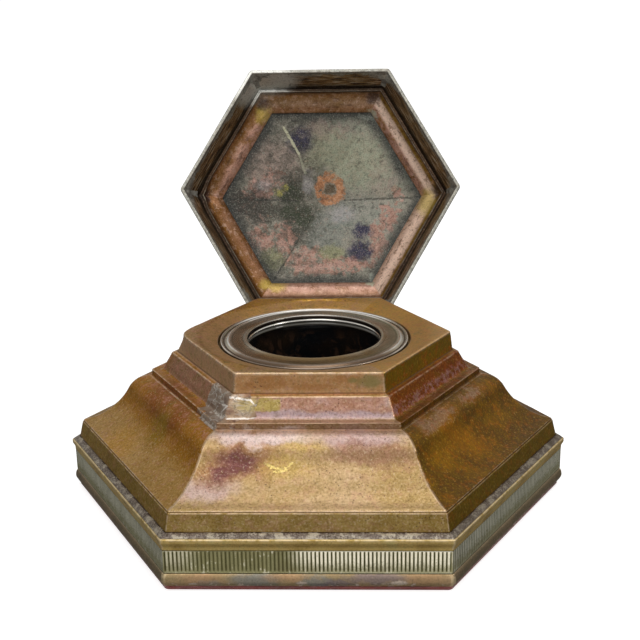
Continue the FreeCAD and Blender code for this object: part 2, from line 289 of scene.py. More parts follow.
# ---------------------------------------------------------------- material graphs
class Graph:
    """Short names for building one procedural material."""

    def __init__(self, name, own_points=True):
        self.mat = bpy.data.materials.new(name)
        self.mat.use_nodes = True
        self.tree = self.mat.node_tree
        self.tree.nodes.clear()
        if own_points:
            self.p = self.attribute("lp", "Vector")
        else:
            here = self.node("ShaderNodeTexCoord").outputs["Object"]
            self.p = self.vec("SCALE", here, scale=1000.0)
        xyz = self.node("ShaderNodeSeparateXYZ")
        self.link(self.p, xyz.inputs[0])
        self.x, self.y, self.z = xyz.outputs

    def node(self, kind, **props):
        n = self.tree.nodes.new(kind)
        for k, v in props.items():
            setattr(n, k, v)
        return n

    def link(self, a, b):
        self.tree.links.new(a, b)

    def put(self, socket, value):
        if isinstance(value, bpy.types.NodeSocket):
            self.link(value, socket)
        elif isinstance(value, tuple) and len(value) == 3 and socket.type == "RGBA":
            socket.default_value = (*value, 1.0)
        else:
            socket.default_value = value

    def attribute(self, name, out="Fac"):
        return self.node("ShaderNodeAttribute", attribute_name=name).outputs[out]

    def m(self, op, a, b=0.0, c=0.0, clamp=False):
        n = self.node("ShaderNodeMath", operation=op, use_clamp=clamp)
        for socket, value in zip(n.inputs, (a, b, c)):
            self.put(socket, value)
        return n.outputs[0]

    def vec(self, op, a, b=(0, 0, 0), scale=1.0):
        n = self.node("ShaderNodeVectorMath", operation=op)
        self.put(n.inputs[0], a)
        self.put(n.inputs[1], b)
        n.inputs[3].default_value = scale
        return n.outputs[1 if op in ("LENGTH", "DISTANCE") else 0]

    def noise(self, scale, detail=4.0, rough=0.55, shift=0.0, stretch=(1, 1, 1), warp=0.0):
        p = self.vec("MULTIPLY_ADD", self.p, stretch)
        p.node.inputs[2].default_value = (shift, shift * 1.7, shift * 0.6)
        n = self.node("ShaderNodeTexNoise")
        self.link(p, n.inputs["Vector"])
        n.inputs["Scale"].default_value = scale
        n.inputs["Detail"].default_value = detail
        n.inputs["Roughness"].default_value = rough
        n.inputs["Distortion"].default_value = warp
        return n.outputs["Fac"]

    def cells(self, scale, shift=0.0):
        p = self.vec("ADD", self.p, (shift, shift, shift))
        n = self.node("ShaderNodeTexVoronoi")
        self.link(p, n.inputs["Vector"])
        n.inputs["Scale"].default_value = scale
        return n.outputs["Distance"]

    def step(self, value, low, high):
        """0 below low, 1 above high, smooth between; swaps when low > high."""
        n = self.node("ShaderNodeMapRange", interpolation_type="SMOOTHSTEP")
        self.put(n.inputs["Value"], value)
        flip = low > high
        n.inputs["From Min"].default_value = min(low, high)
        n.inputs["From Max"].default_value = max(low, high)
        n.inputs["To Min"].default_value = 1.0 if flip else 0.0
        n.inputs["To Max"].default_value = 0.0 if flip else 1.0
        return n.outputs["Result"]

    def band(self, value, a, b, soft):
        return self.mul(self.step(value, a - soft, a + soft), self.step(value, b + soft, b - soft))

    def ramp(self, value, stops):
        n = self.node("ShaderNodeValToRGB")
        self.put(n.inputs[0], value)
        e = n.color_ramp.elements
        while len(e) < len(stops):
            e.new(0.5)
        for item, (pos, colour) in zip(e, stops):
            item.position = pos
            item.color = (*colour, 1.0)
        return n.outputs["Color"]

    def mix(self, fac, a, b):
        n = self.node("ShaderNodeMix", data_type="RGBA")
        self.put(n.inputs["Factor"], fac)
        self.put(n.inputs[6], a)
        self.put(n.inputs[7], b)
        return n.outputs[2]

    def add(self, a, b, clamp=False):
        return self.m("ADD", a, b, clamp=clamp)

    def sub(self, a, b, clamp=False):
        return self.m("SUBTRACT", a, b, clamp=clamp)

    def stir(self, value, noise, amount, clamp=False):
        """value moved up and down by noise, which averages 0.5."""
        return self.add(value, self.mul(self.sub(noise, 0.5), amount), clamp)

    def inv(self, a):
        return self.m("SUBTRACT", 1.0, a)

    def mul(self, a, b):
        return self.m("MULTIPLY", a, b)

    def peak(self, a, b):
        return self.m("MAXIMUM", a, b)

    def both(self, first, *more):
        for mask in more:
            first = self.m("MULTIPLY", first, mask, clamp=True)
        return first

    def tint(self, colour, mask, other, amount=None):
        """colour, turned to other where mask is 1, by amount."""
        return self.mix(mask if amount is None else self.mul(mask, amount), colour, other)

    def warped(self, scale, amount, shift=0.0):
        """The position, pushed about by noise so that what is drawn with it comes out ragged."""
        p = self.vec("ADD", self.p, (shift, shift, shift))
        n = self.node("ShaderNodeTexNoise")
        self.link(p, n.inputs["Vector"])
        n.inputs["Scale"].default_value = scale
        n.inputs["Detail"].default_value = 6.0
        n.inputs["Roughness"].default_value = 0.65
        off = self.vec("SUBTRACT", n.outputs["Color"], (0.5, 0.5, 0.5))
        off = self.vec("MULTIPLY", off, (amount, amount, amount))
        return self.vec("ADD", self.p, off)

    def patches(self, at, spots, soft=0.15):
        """1 inside any of the ellipsoids (x, y, z, rx, ry, rz)."""
        total = None
        for x, y, z, rx, ry, rz in spots:
            rel = self.vec("DIVIDE", self.vec("SUBTRACT", at, (x, y, z)), (rx, ry, rz))
            mask = self.step(self.vec("LENGTH", rel), 1.0 + soft, 1.0 - soft)
            total = mask if total is None else self.peak(total, mask)
        return total

    def segment(self, at, a, b, width):
        """1 along the line from a to b."""
        a, b = Vector(a), Vector(b)
        run = b - a
        rel = self.vec("SUBTRACT", at, tuple(a))
        along = self.node("ShaderNodeVectorMath", operation="DOT_PRODUCT")
        self.link(rel, along.inputs[0])
        along.inputs[1].default_value = tuple(run / run.length_squared)
        t = self.add(along.outputs[1], 0.0, clamp=True)
        spread = self.node("ShaderNodeVectorMath", operation="SCALE")
        spread.inputs[0].default_value = tuple(run)
        self.link(t, spread.inputs[3])
        off = self.vec("SUBTRACT", rel, spread.outputs[0])
        return self.step(self.vec("LENGTH", off), width * 1.5, width * 0.7)

    def speckled(self, col, dark, light, amount=1.0, scale=1.9):
        """Breaks a colour up with fine dark and light grain."""
        a = self.noise(scale, 4.0, 0.75, 71.0)
        b = self.noise(scale * 0.45, 5.0, 0.7, 83.0)
        col = self.mix(self.mul(self.step(a, 0.50, 0.34), 0.50 * amount), col, dark)
        col = self.mix(self.mul(self.step(a, 0.52, 0.68), 0.36 * amount), col, light)
        return self.mix(self.mul(self.step(b, 0.47, 0.30), 0.32 * amount), col, dark)

    def saturate(self, colour, amount):
        n = self.node("ShaderNodeHueSaturation")
        self.put(n.inputs["Saturation"], amount)
        self.put(n.inputs["Color"], colour)
        return n.outputs["Color"]

    def side_masks(self):
        """Masks of the front, the two right and the two left sides of the hexagon."""
        gap = self.sub(self.mul(self.y, -T30), self.m("ABSOLUTE", self.x))
        front = self.step(gap, -0.1, 0.1)
        wide = self.sub(self.mul(self.m("ABSOLUTE", self.y), T30), self.m("ABSOLUTE", self.x))
        rest = self.step(wide, 0.1, -0.1)
        right = self.both(self.step(self.x, -0.1, 0.1), rest)
        left = self.both(self.step(self.x, 0.1, -0.1), rest)
        return front, right, left

    def metal(self, colour, rough, metallic=0.85, bumps=(), **sockets):
        """Principled metal; bumps is a list of (height socket, depth in millimetres)."""
        s = self.node("ShaderNodeBsdfPrincipled")
        self.put(s.inputs["Base Color"], colour)
        self.put(s.inputs["Roughness"], rough)
        self.put(s.inputs["Metallic"], metallic)
        for k, v in sockets.items():
            self.put(s.inputs[k.replace("_", " ")], v)
        normal = None
        for height, depth in bumps:
            b = self.node("ShaderNodeBump")
            b.inputs["Strength"].default_value = 1.0
            b.inputs["Distance"].default_value = depth * MM
            self.link(height, b.inputs["Height"])
            if normal:
                self.link(normal, b.inputs["Normal"])
            normal = b.outputs["Normal"]
        if normal:
            self.link(normal, s.inputs["Normal"])
        out = self.node("ShaderNodeOutputMaterial")
        self.link(s.outputs[0], out.inputs[0])
        return self.mat

    def edge_masks(self, chip=0.5, scale=0.5):
        """(bright worn arris, darkening in creases) from the stored wear value."""
        wear = self.attribute("wear")
        broken = self.step(self.noise(scale, 5.0, 0.65, 31.0), 0.34, 0.34 + chip)
        bright = self.both(self.step(wear, 0.25, 0.95), broken)
        crease_dark = self.step(wear, -0.1, -0.7)
        return bright, crease_dark


def body_brass():
    g = Graph("aged_body_brass")
    front, right, left = g.side_masks()
    clouds = g.noise(0.045, 4.0, 0.55, 0.0, warp=0.6)
    patches = g.noise(0.11, 5.0, 0.6, 12.0, warp=0.4)
    grain = g.noise(1.3, 6.0, 0.7, 5.0)
    speck = g.noise(3.2, 3.0, 0.6, 9.0)
    at = g.warped(0.16, 8.0)
    near = g.warped(0.7, 2.2, 5.0)
    col = g.ramp(clouds, [(0.3, (0.46, 0.31, 0.12)), (0.5, (0.56, 0.385, 0.19)), (0.7, (0.60, 0.42, 0.24))])
    # left sides: tan, redder above
    tan = g.ramp(patches, [(0.25, (0.32, 0.19, 0.06)),
            (0.5, (0.43, 0.27, 0.11)), (0.75, (0.50, 0.33, 0.15))])
    col = g.tint(col, left, tan)
    upper = g.both(left, g.step(g.z, 24.0, 31.0))
    col = g.tint(col, upper, (0.38, 0.16, 0.025), 0.75)
    for spots, colour, amount in (
            ([(-45, -17, 36, 9, 9, 5), (-38, -30, 35, 5, 6, 5)], (0.26, 0.085, 0.03), 0.75),
            ([(-44, -27, 31, 5, 6, 5)], (0.24, 0.17, 0.02), 0.55),
            ([(-58, -22, 23, 8, 8, 4)], (0.56, 0.32, 0.10), 0.5)):
        col = g.tint(col, g.both(left, g.patches(at, spots, 0.5)), colour, amount)
    # right sides: dark olive brown with orange clouds, kept darker than the left as painted shade
    olive = g.ramp(g.noise(0.15, 5.0, 0.6, 3.0),
            [(0.3, (0.10, 0.045, 0.0)), (0.5, (0.14, 0.065, 0.0)), (0.68, (0.25, 0.115, 0.006))])
    col = g.tint(col, right, olive)
    for spots, soft, colour, amount in (
            ([(39, -33, 31, 5, 5, 6), (43, -31, 26, 4, 5, 5),
             (45, -29, 24, 6, 6, 3)], 0.5, (0.42, 0.19, 0.05), 0.5),
            ([(36, -42, 27, 4, 6, 12)], 0.6, (0.36, 0.20, 0.07), 0.45)):
        col = g.tint(col, g.both(right, g.patches(at, spots, soft)), colour, amount)
    # tarnish on the front: lavender on the shoulder, partly a painted highlight band along it; pink low on
    # the left
    shoulder_tarnish_and_highlight = g.patches(at, [(-14, -47, 35.4, 11, 6, 1.9), (14, -47, 35.0, 12, 6, 2.2)], 0.5)
    shoulder_tarnish_and_highlight = g.both(front, g.peak(shoulder_tarnish_and_highlight, g.mul(g.band(g.z, 35.0, 36.1, 0.6), 0.5)))
    col = g.tint(col, shoulder_tarnish_and_highlight, (0.60, 0.43, 0.43), 0.8)
    low = g.both(front, g.patches(at, [(-27, -56, 24.6, 8, 6, 2.6)], 0.5))
    col = g.tint(col, low, (0.62, 0.46, 0.44), 0.75)
    rosy = g.both(front, g.patches(at, [(17, -50, 31.6, 11, 6, 2.4), (12, -49.5, 33, 6, 6, 1.8)], 0.5))
    col = g.tint(col, rosy, (0.34, 0.175, 0.13), 0.75)
    shade = g.both(front, g.mul(g.step(g.z, 25.5, 31.0), g.step(g.z, 34.6, 33.0)))
    col = g.tint(col, shade, (0.36, 0.22, 0.09), 0.32)
    for spots, soft, colour, amount in (
            ([(-17, -51, 30.4, 9, 9, 4.2), (-24, -53, 27.4, 6, 9, 2.6)], 0.45, (0.30, 0.135, 0.065), 0.7),
            ([(-18.5, -51, 29.8, 5.6, 9, 3.0), (-23, -53, 27.6, 3.4, 9, 1.7)],
             0.5, (0.15, 0.05, 0.06), 0.88)):
        col = g.tint(col, g.both(front, g.patches(at, spots, soft)), colour, amount)
    # cavetto and ledge
    cove = g.band(g.z, 38.3, 43.3, 0.12)
    copper = g.ramp(g.noise(0.3, 5.0, 0.6, 17.0),
            [(0.3, (0.36, 0.17, 0.11)), (0.55, (0.48, 0.26, 0.20)), (0.75, (0.56, 0.38, 0.36))])
    col = g.tint(col, g.both(cove, front), copper, 0.9)
    # painted highlight: lilac on the low part of the front cavetto
    lilac_highlight = g.both(cove, front, g.step(g.stir(g.z, patches, 6.0), 40.6, 39.0))
    col = g.tint(col, lilac_highlight, (0.56, 0.44, 0.48), 0.7)
    maroon = g.both(g.band(g.z, 38.3, 45.5, 0.3), right)
    col = g.tint(col, maroon, (0.22, 0.075, 0.05), 0.7)
    pinkish = g.both(right, g.band(g.z, 38.0, 41.0, 0.9), g.step(g.noise(0.6, 6.0, 0.75, 71.0), 0.40, 0.60))
    col = g.tint(col, pinkish, (0.46, 0.31, 0.30), 0.8)
    # painted highlight: lilac-grey sheen on the upper cyma of the right sides
    lilac_cyma_highlight = g.both(right,
            g.patches(at, [(36, -30, 34.6, 8, 8, 2.0),
            (32, -36, 34.4, 5, 6, 2.4), (46, -14, 35, 6, 8, 1.3)], 0.6))
    col = g.tint(col, lilac_cyma_highlight, (0.42, 0.32, 0.27), 0.6)
    boxed = g.node("ShaderNodeSeparateXYZ")
    g.link(near, boxed.inputs[0])
    yellow = g.both(g.band(boxed.outputs[0], -17.5, -7.8, 0.25), g.band(boxed.outputs[2], 39.9, 43.1, 0.25))
    yellow = g.both(front, yellow, g.step(patches, 0.3, 0.42))
    col = g.tint(col, yellow, (0.46, 0.36, 0.11), 0.85)
    # painted highlight: the up-facing ledge tinted pale lavender-pink
    ledge = g.both(g.band(g.z, 37.95, 38.9, 0.15), front)
    col = g.tint(col, ledge, (0.52, 0.38, 0.38), 0.7)
    face = g.both(g.band(g.z, 36.4, 37.85, 0.15), front)
    col = g.tint(col, face, (0.30, 0.16, 0.09), 0.75)
    # block: orange copper in front, brown at the sides; tan top
    block = g.band(g.z, 43.7, 49.25, 0.15)
    orange = g.ramp(g.noise(0.28, 6.0, 0.65, 25.0),
            [(0.3, (0.36, 0.15, 0.05)), (0.5, (0.54, 0.26, 0.10)), (0.72, (0.62, 0.37, 0.20))])
    col = g.tint(col, g.both(block, g.mul(front, 0.92)), orange)
    green_marks = [(16.5, -35.5, 47, 3.6, 5, 1.6), (12, -35.5, 47.4, 1.5, 5, 0.8)]
    for spots, colour, amount in (
            (green_marks, (0.30, 0.25, 0.09), 0.75),
            ([(-14.5, -35.6, 47.6, 1.5, 5, 0.5), (-12, -35.6, 45.8, 1.1, 5, 0.5),
             (-17, -35.6, 46, 0.8, 5, 0.6)], (0.24, 0.09, 0.03), 0.55)):
        col = g.tint(col, g.both(block, front, g.patches(near, spots, 0.5)), colour, amount)
    col = g.tint(col, g.both(block, left), (0.60, 0.41, 0.26), 0.85)
    col = g.tint(col, g.both(block, right), (0.42, 0.28, 0.07), 0.5)
    rim = g.vec("LENGTH", g.vec("MULTIPLY", g.p, (1, 1, 0)))
    top = g.peak(g.step(g.z, 49.2, 49.45), g.both(g.step(g.z, 46.0, 47.0), g.step(rim, 35.3, 34.9)))
    tan_top = g.ramp(g.noise(0.14, 5.0, 0.6, 33.0),
            [(0.3, (0.44, 0.25, 0.10)), (0.5, (0.55, 0.34, 0.14)), (0.7, (0.60, 0.41, 0.20))])
    # the top painted lighter towards the rear (painted highlight over warm orange patina) and darker on the
    # left (painted shade)
    warm_rear_highlight = g.both(g.step(g.y, 6.0, 26.0), g.step(g.noise(0.1, 5.0, 0.6, 14.0), 0.3, 0.6))
    tan_top = g.tint(tan_top, warm_rear_highlight, (0.74, 0.44, 0.14), 0.7)
    left_top_shade = g.step(g.stir(g.x, patches, 20.0), -18.0, -30.0)
    tan_top = g.tint(tan_top, left_top_shade, (0.36, 0.22, 0.12), 0.5)
    col = g.tint(col, top, tan_top)
    # painted shade: the wall of the hole round the collar, near black
    gap = g.both(g.band(g.z, 45.0, 48.02, 0.05), g.step(rim, 29.3, 28.95))
    col = g.tint(col, gap, (0.02, 0.014, 0.008), 0.9)
    # frieze, duller and olive
    frieze = g.step(g.z, 21.25, 21.0)
    olive2 = g.ramp(g.noise(0.2, 5.0, 0.6, 41.0),
            [(0.3, (0.24, 0.155, 0.04)), (0.5, (0.36, 0.24, 0.07)), (0.7, (0.42, 0.30, 0.11))])
    col = g.tint(col, frieze, olive2, 0.9)
    # painted shade: the frieze darkened on the right sides
    col = g.tint(col, g.both(frieze, right), (0.12, 0.085, 0.03), 0.6)
    # scratches showing raw yellow metal
    marks = 0.0
    for a, b, width in (
            ((-11.5, -51.3, 29.7), (-8.8, -51.6, 29.2), 0.28),
            ((-9.8, -51.6, 28.9), (-7.2, -52.0, 28.5), 0.34),
            ((-7.6, -52.2, 27.9), (-5.6, -51.9, 28.5), 0.38),
            ((-5.8, -51.6, 28.9), (-4.0, -50.9, 30.0), 0.30),
            ((-8.4, -51.2, 30.0), (-7.6, -51.9, 28.6), 0.18),
            ((-9.0, -52.3, 27.9), (-7.2, -52.3, 27.7), 0.20),
            ((-4.4, -49.4, 33.0), (-1.4, -49.8, 33.4), 0.25),
            ((-5.4, -47.6, 35.0), (-3.6, -47.8, 34.8), 0.22)):
        marks = g.peak(marks, g.segment(near, a, b, width))
    sunny = g.both(front,
            g.patches(at, [(-6.5, -51.5, 29.4, 6, 6, 2.4), (-2, -48.5, 33.6, 5, 5, 2.2)], 0.6))
    col = g.tint(col, sunny, (0.66, 0.46, 0.13), 0.4)
    col = g.tint(col, g.both(front, marks), (0.95, 0.74, 0.28), 0.9)
    # fine mottling and pits
    cove_left = g.both(cove, left, g.step(g.y, 4.0, -6.0))
    col = g.tint(col, cove_left, (0.40, 0.25, 0.20), 0.65)
    # painted highlight: pale pink on the front shoulder
    shoulder_highlight = g.both(front, g.patches(at, [(-12, -46, 35.3, 13, 6, 1.5)], 0.5))
    col = g.tint(col, shoulder_highlight, (0.95, 0.78, 0.72), 0.6)
    mottle = g.noise(0.42, 7.0, 0.74, 77.0, warp=0.3)
    upper_parts = g.peak(g.peak(block, top), g.both(left, g.step(g.z, 33.0, 36.0)))
    amount = g.add(0.28, g.mul(upper_parts, 0.32))
    col = g.tint(col, g.step(mottle, 0.51, 0.60), (0.52, 0.27, 0.20), amount)
    col = g.tint(col, g.step(mottle, 0.47, 0.38), (0.22, 0.155, 0.04), amount)
    col = g.speckled(col, (0.12, 0.06, 0.028), (0.86, 0.70, 0.50), 0.95, 1.55)
    col = g.saturate(col, g.add(g.sub(1.18, g.mul(front, 0.13)), g.mul(right, 0.35)))
    # painted highlight: the right of the top lightened
    col = g.tint(col, g.both(top, g.step(g.x, 4.0, 22.0)), (0.82, 0.55, 0.28), 0.4)
    col = g.tint(col, g.both(block, g.inv(right)), (0.80, 0.50, 0.26), 0.28)
    rusty = [(-13, -35.6, 46.4, 7, 5, 1.9), (2, -35.6, 45.4, 7, 5, 1.3), (10, -35.6, 47.6, 5, 5, 1.0)]
    rust = g.both(block, front, g.patches(at, rusty, 0.6))
    rust = g.both(rust, g.add(0.4, g.step(mottle, 0.42, 0.56)))
    col = g.tint(col, rust, (0.42, 0.17, 0.035), 0.5)
    green = g.both(block, front, g.patches(near, green_marks, 0.5))
    col = g.tint(col, green, (0.28, 0.23, 0.08), 0.6)
    pits = g.both(g.step(g.cells(0.85, 4.0), 0.19, 0.10), g.step(g.noise(0.12, 2.0, 0.5, 50.0), 0.45, 0.6))
    col = g.tint(col, pits, (0.07, 0.035, 0.03), 0.8)
    bright, crease_dark = g.edge_masks(0.25)
    col = g.tint(col, crease_dark, (0.12, 0.055, 0.025), 0.8)
    col = g.tint(col, g.both(bright, g.inv(g.mul(right, 0.55))), (0.80, 0.60, 0.42), 0.62)
    rough = g.stir(0.42, grain, 0.5)
    rough = g.sub(rough, g.mul(bright, 0.12), clamp=True)
    dents = g.add(patches, g.mul(marks, -0.4))
    return g.metal(col, rough, 0.88, [(dents, 0.10), (grain, 0.045), (speck, 0.02)])


def plinth_brass():
    g = Graph("aged_plinth_brass")
    grain = g.noise(1.6, 6.0, 0.7, 3.0)
    tone = g.noise(0.12, 5.0, 0.6, 8.0, warp=0.5)
    at = g.warped(0.3, 5.0)
    upper = g.ramp(tone, [(0.3, (0.42, 0.27, 0.07)), (0.5, (0.64, 0.44, 0.14)), (0.7, (0.56, 0.46, 0.17))])
    lower = g.ramp(tone, [(0.28, (0.28, 0.24, 0.19)), (0.42, (0.40, 0.29, 0.14)),
            (0.62, (0.56, 0.38, 0.20)), (0.8, (0.44, 0.27, 0.15))])
    foot = g.step(g.z, 6.0, 5.0)
    col = g.mix(foot, upper, lower)
    for spots, colour, amount in (
            ([(-14, -66, 3.6, 6, 5, 2), (2, -66, 3.0, 4, 5, 1.4),
             (-26, -66, 2.4, 3, 5, 1)], (0.26, 0.28, 0.27), 0.7),
            ([(18, -66, 3.8, 8, 5, 1.6), (8, -66, 2.2, 5, 5, 1)], (0.24, 0.19, 0.22), 0.7),
            ([(-28, -66, 3.6, 5, 5, 2), (30, -66, 3.6, 5, 5, 2),
             (-6, -66, 4.2, 5, 5, 1)], (0.56, 0.32, 0.17), 0.55)):
        col = g.tint(col, g.both(foot, g.patches(at, spots, 0.5)), colour, amount)
    front, _, _ = g.side_masks()
    # painted shade: the sides of the foot darkened
    side_shade = g.both(foot, g.inv(front))
    col = g.tint(col, side_shade, (0.10, 0.085, 0.06), 0.6)
    slope = g.band(g.z, 15.15, 16.3, 0.1)
    col = g.tint(col, slope, (0.07, 0.05, 0.04), 0.85)
    chips = g.both(foot, g.step(g.z, 2.9, 2.2), g.step(g.noise(0.5, 4.0, 0.6, 44.0), 0.57, 0.61))
    chips = g.peak(chips, g.patches(g.warped(0.8, 1.6),
            [(23.8, -65.9, 2.6, 2.2, 3, 0.7),
            (-1.5, -65.9, 2.6, 1.3, 3, 0.5), (-30, -65.9, 2.2, 1.2, 3, 0.4)], 0.3))
    col = g.tint(col, chips, (0.80, 0.66, 0.54), 0.9)
    col = g.speckled(col, (0.09, 0.07, 0.035), (0.72, 0.58, 0.34), 0.7, 2.0)
    bright, crease_dark = g.edge_masks(0.22)
    col = g.tint(col, crease_dark, (0.05, 0.04, 0.025), 0.85)
    col = g.tint(col, bright, (0.95, 0.76, 0.46), 0.7)
    rough = g.stir(0.38, grain, 0.5, clamp=True)
    return g.metal(col, rough, 0.85, [(tone, 0.08), (grain, 0.05)])


def band_brass():
    g = Graph("fluted_band_brass")
    rib = g.attribute("rib")
    front, right, left = g.side_masks()
    grain = g.noise(1.8, 5.0, 0.7, 2.0)
    patch = g.noise(0.16, 4.0, 0.6, 6.0)
    # verdigris on the left of the front, bare pale ribs on the right
    where = g.stir(g.x, patch, 16.0)
    bare = g.both(front, g.step(where, -8.0, 2.0))
    bare = g.peak(bare, g.mul(g.both(front, g.step(g.x, -27.0, -33.0)), 0.5))
    bare = g.peak(bare, g.mul(right, 0.75))
    bare = g.peak(bare, g.mul(left, 0.65))
    worn = g.step(g.stir(g.z, grain, 5.0), 5.8, 9.2)
    loose = g.step(g.noise(0.5, 3.0, 0.6, 19.0), 0.56, 0.64)
    lively = g.add(0.55, g.mul(g.noise(0.9, 2.0, 0.5, 66.0, stretch=(1, 1, 0.1)), 0.9))
    shine = g.both(g.step(rib, 0.25, 0.7), g.mul(g.mul(bare, lively), g.add(0.25, g.mul(worn, 0.8))))
    shine = g.peak(shine, g.both(g.step(rib, 0.5, 0.9), g.mul(loose, 0.55)))
    green = g.ramp(patch, [(0.3, (0.26, 0.22, 0.09)), (0.5, (0.32, 0.30, 0.13)), (0.7, (0.40, 0.36, 0.16))])
    col = g.mix(g.mul(g.step(rib, 0.2, 0.8), 0.55), green, (0.56, 0.52, 0.28))
    col = g.tint(col, g.step(rib, 0.45, 0.1), (0.07, 0.065, 0.025), g.add(0.55, g.mul(bare, 0.3)))
    col = g.tint(col, shine, (1.0, 0.93, 0.72))
    sides = g.inv(front)
    col = g.tint(col, g.both(sides, shine), (0.70, 0.74, 0.68), 0.5)
    # painted shade: the side faces darkened, less on the bright ribs
    col = g.tint(col, sides, (0.05, 0.05, 0.03), g.sub(0.5, g.mul(shine, 0.4)))
    col = g.tint(col, g.step(grain, 0.46, 0.3), (0.08, 0.08, 0.04), 0.5)
    # darkening in the creases: at the top of the flutes it is painted shadow under the upper moulding; the
    # crease at their foot is darkened too
    _, crease_dark = g.edge_masks(0.3)
    col = g.tint(col, crease_dark, (0.03, 0.028, 0.016), 0.9)
    rough = g.sub(0.55, g.mul(shine, 0.25))
    glow = g.sub(0.82, g.mul(g.both(shine, front), 0.5))
    return g.metal(col, rough, glow, [(grain, 0.04)])


def solder():
    g = Graph("granular_solder")
    grain = g.noise(2.2, 5.0, 0.75, 1.0)
    tone = g.noise(0.25, 4.0, 0.6, 5.0)
    col = g.ramp(grain, [(0.34, (0.07, 0.05, 0.04)), (0.5, (0.29, 0.24, 0.19)), (0.64, (0.68, 0.61, 0.52))])
    col = g.tint(col, g.step(tone, 0.42, 0.6), (0.17, 0.125, 0.11), 0.5)
    front, right, _ = g.side_masks()
    _, crease_dark = g.edge_masks()
    col = g.tint(col, crease_dark, (0.03, 0.02, 0.02))
    lumps = g.noise(0.3, 6.0, 0.75, 63.0)
    col = g.tint(col, g.step(lumps, 0.50, 0.58), (0.80, 0.72, 0.56), 0.6)
    col = g.tint(col, g.step(lumps, 0.46, 0.38), (0.10, 0.075, 0.05), 0.65)
    # painted shade: the sides darkened, the right more
    side_shade = g.mul(g.inv(front), g.add(0.3, g.mul(right, 0.2)))
    col = g.tint(col, side_shade, (0.09, 0.065, 0.04))
    return g.metal(col, g.add(0.30, g.mul(grain, 0.35)), 0.9, [(grain, 0.2)])


def repair_solder():
    g = Graph("grey_repair_solder")
    grain = g.noise(0.9, 6.0, 0.7, 1.0)
    streak = g.noise(0.5, 4.0, 0.6, 6.0, stretch=(0.35, 0.35, 1.6))
    clump = g.noise(0.28, 4.0, 0.6, 19.0, warp=0.5)
    _, _, left = g.side_masks()
    col = g.ramp(clump, [(0.3, (0.24, 0.13, 0.09)), (0.48, (0.50, 0.34, 0.22)),
            (0.6, (0.62, 0.49, 0.36)), (0.72, (0.50, 0.42, 0.38))])
    col = g.tint(col, left, (0.22, 0.17, 0.135), 0.6)
    tint = g.patches(g.p, [(-16.5, -38.5, 41.4, 3.6, 4, 1.6)], 0.5)
    col = g.tint(col, tint, (0.50, 0.40, 0.15), 0.7)
    col = g.tint(col, g.step(streak, 0.53, 0.62), (0.62, 0.54, 0.48), 0.5)
    col = g.tint(col, g.step(grain, 0.44, 0.32), (0.10, 0.06, 0.04), 0.6)
    vein = g.band(g.noise(0.22, 3.0, 0.55, 44.0, stretch=(1, 1, 1.8)), 0.485, 0.515, 0.012)
    col = g.tint(col, vein, (0.72, 0.68, 0.60), g.add(0.25, g.mul(left, 0.4)))
    line_at = g.warped(0.8, 1.0, 5.0)
    crack = 0.0
    for a, b in (
            ((-21.6, -37.5, 43.3), (-16.0, -37.9, 42.6)),
            ((-16.0, -37.9, 42.6), (-13.2, -39.1, 40.2)),
            ((-13.2, -39.1, 40.2), (-13.6, -40.1, 38.4)),
            ((-13.6, -40.2, 38.2), (-22.5, -40.3, 38.1)),
            ((-22.4, -38.6, 41.2), (-25.4, -37.6, 38.2)),
            ((-22.4, -38.6, 41.2), (-27.0, -33.0, 40.4))):
        crack = g.peak(crack, g.segment(line_at, a, b, 0.26))
    col = g.tint(col, crack, (0.92, 0.85, 0.76), 0.9)
    return g.metal(col, g.add(0.28, g.mul(grain, 0.3)), 0.9, [(grain, 0.10), (clump, 0.2), (vein, 0.1)])


def lead():
    g = Graph("grey_lid_solder")
    grain = g.noise(1.3, 6.0, 0.75, 1.0)
    tone = g.noise(0.3, 4.0, 0.6, 6.0)
    col = g.ramp(grain, [(0.32, (0.16, 0.16, 0.14)), (0.5, (0.40, 0.40, 0.36)), (0.66, (0.62, 0.62, 0.56))])
    col = g.tint(col, g.step(tone, 0.45, 0.62), (0.10, 0.085, 0.075), 0.6)
    return g.metal(col, g.add(0.35, g.mul(grain, 0.3)), 0.8, [(grain, 0.12)])


def lid_outside(g, tone):
    """Colour of the lid's outer face: the tan and olive clouds of the body."""
    out = g.ramp(tone,
            [(0.3, (0.26, 0.14, 0.035)), (0.5, (0.41, 0.255, 0.09)), (0.68, (0.52, 0.345, 0.145))])
    return g.tint(out, g.step(g.noise(0.09, 4.0, 0.6, 60.0), 0.52, 0.68), (0.42, 0.22, 0.17), 0.6)


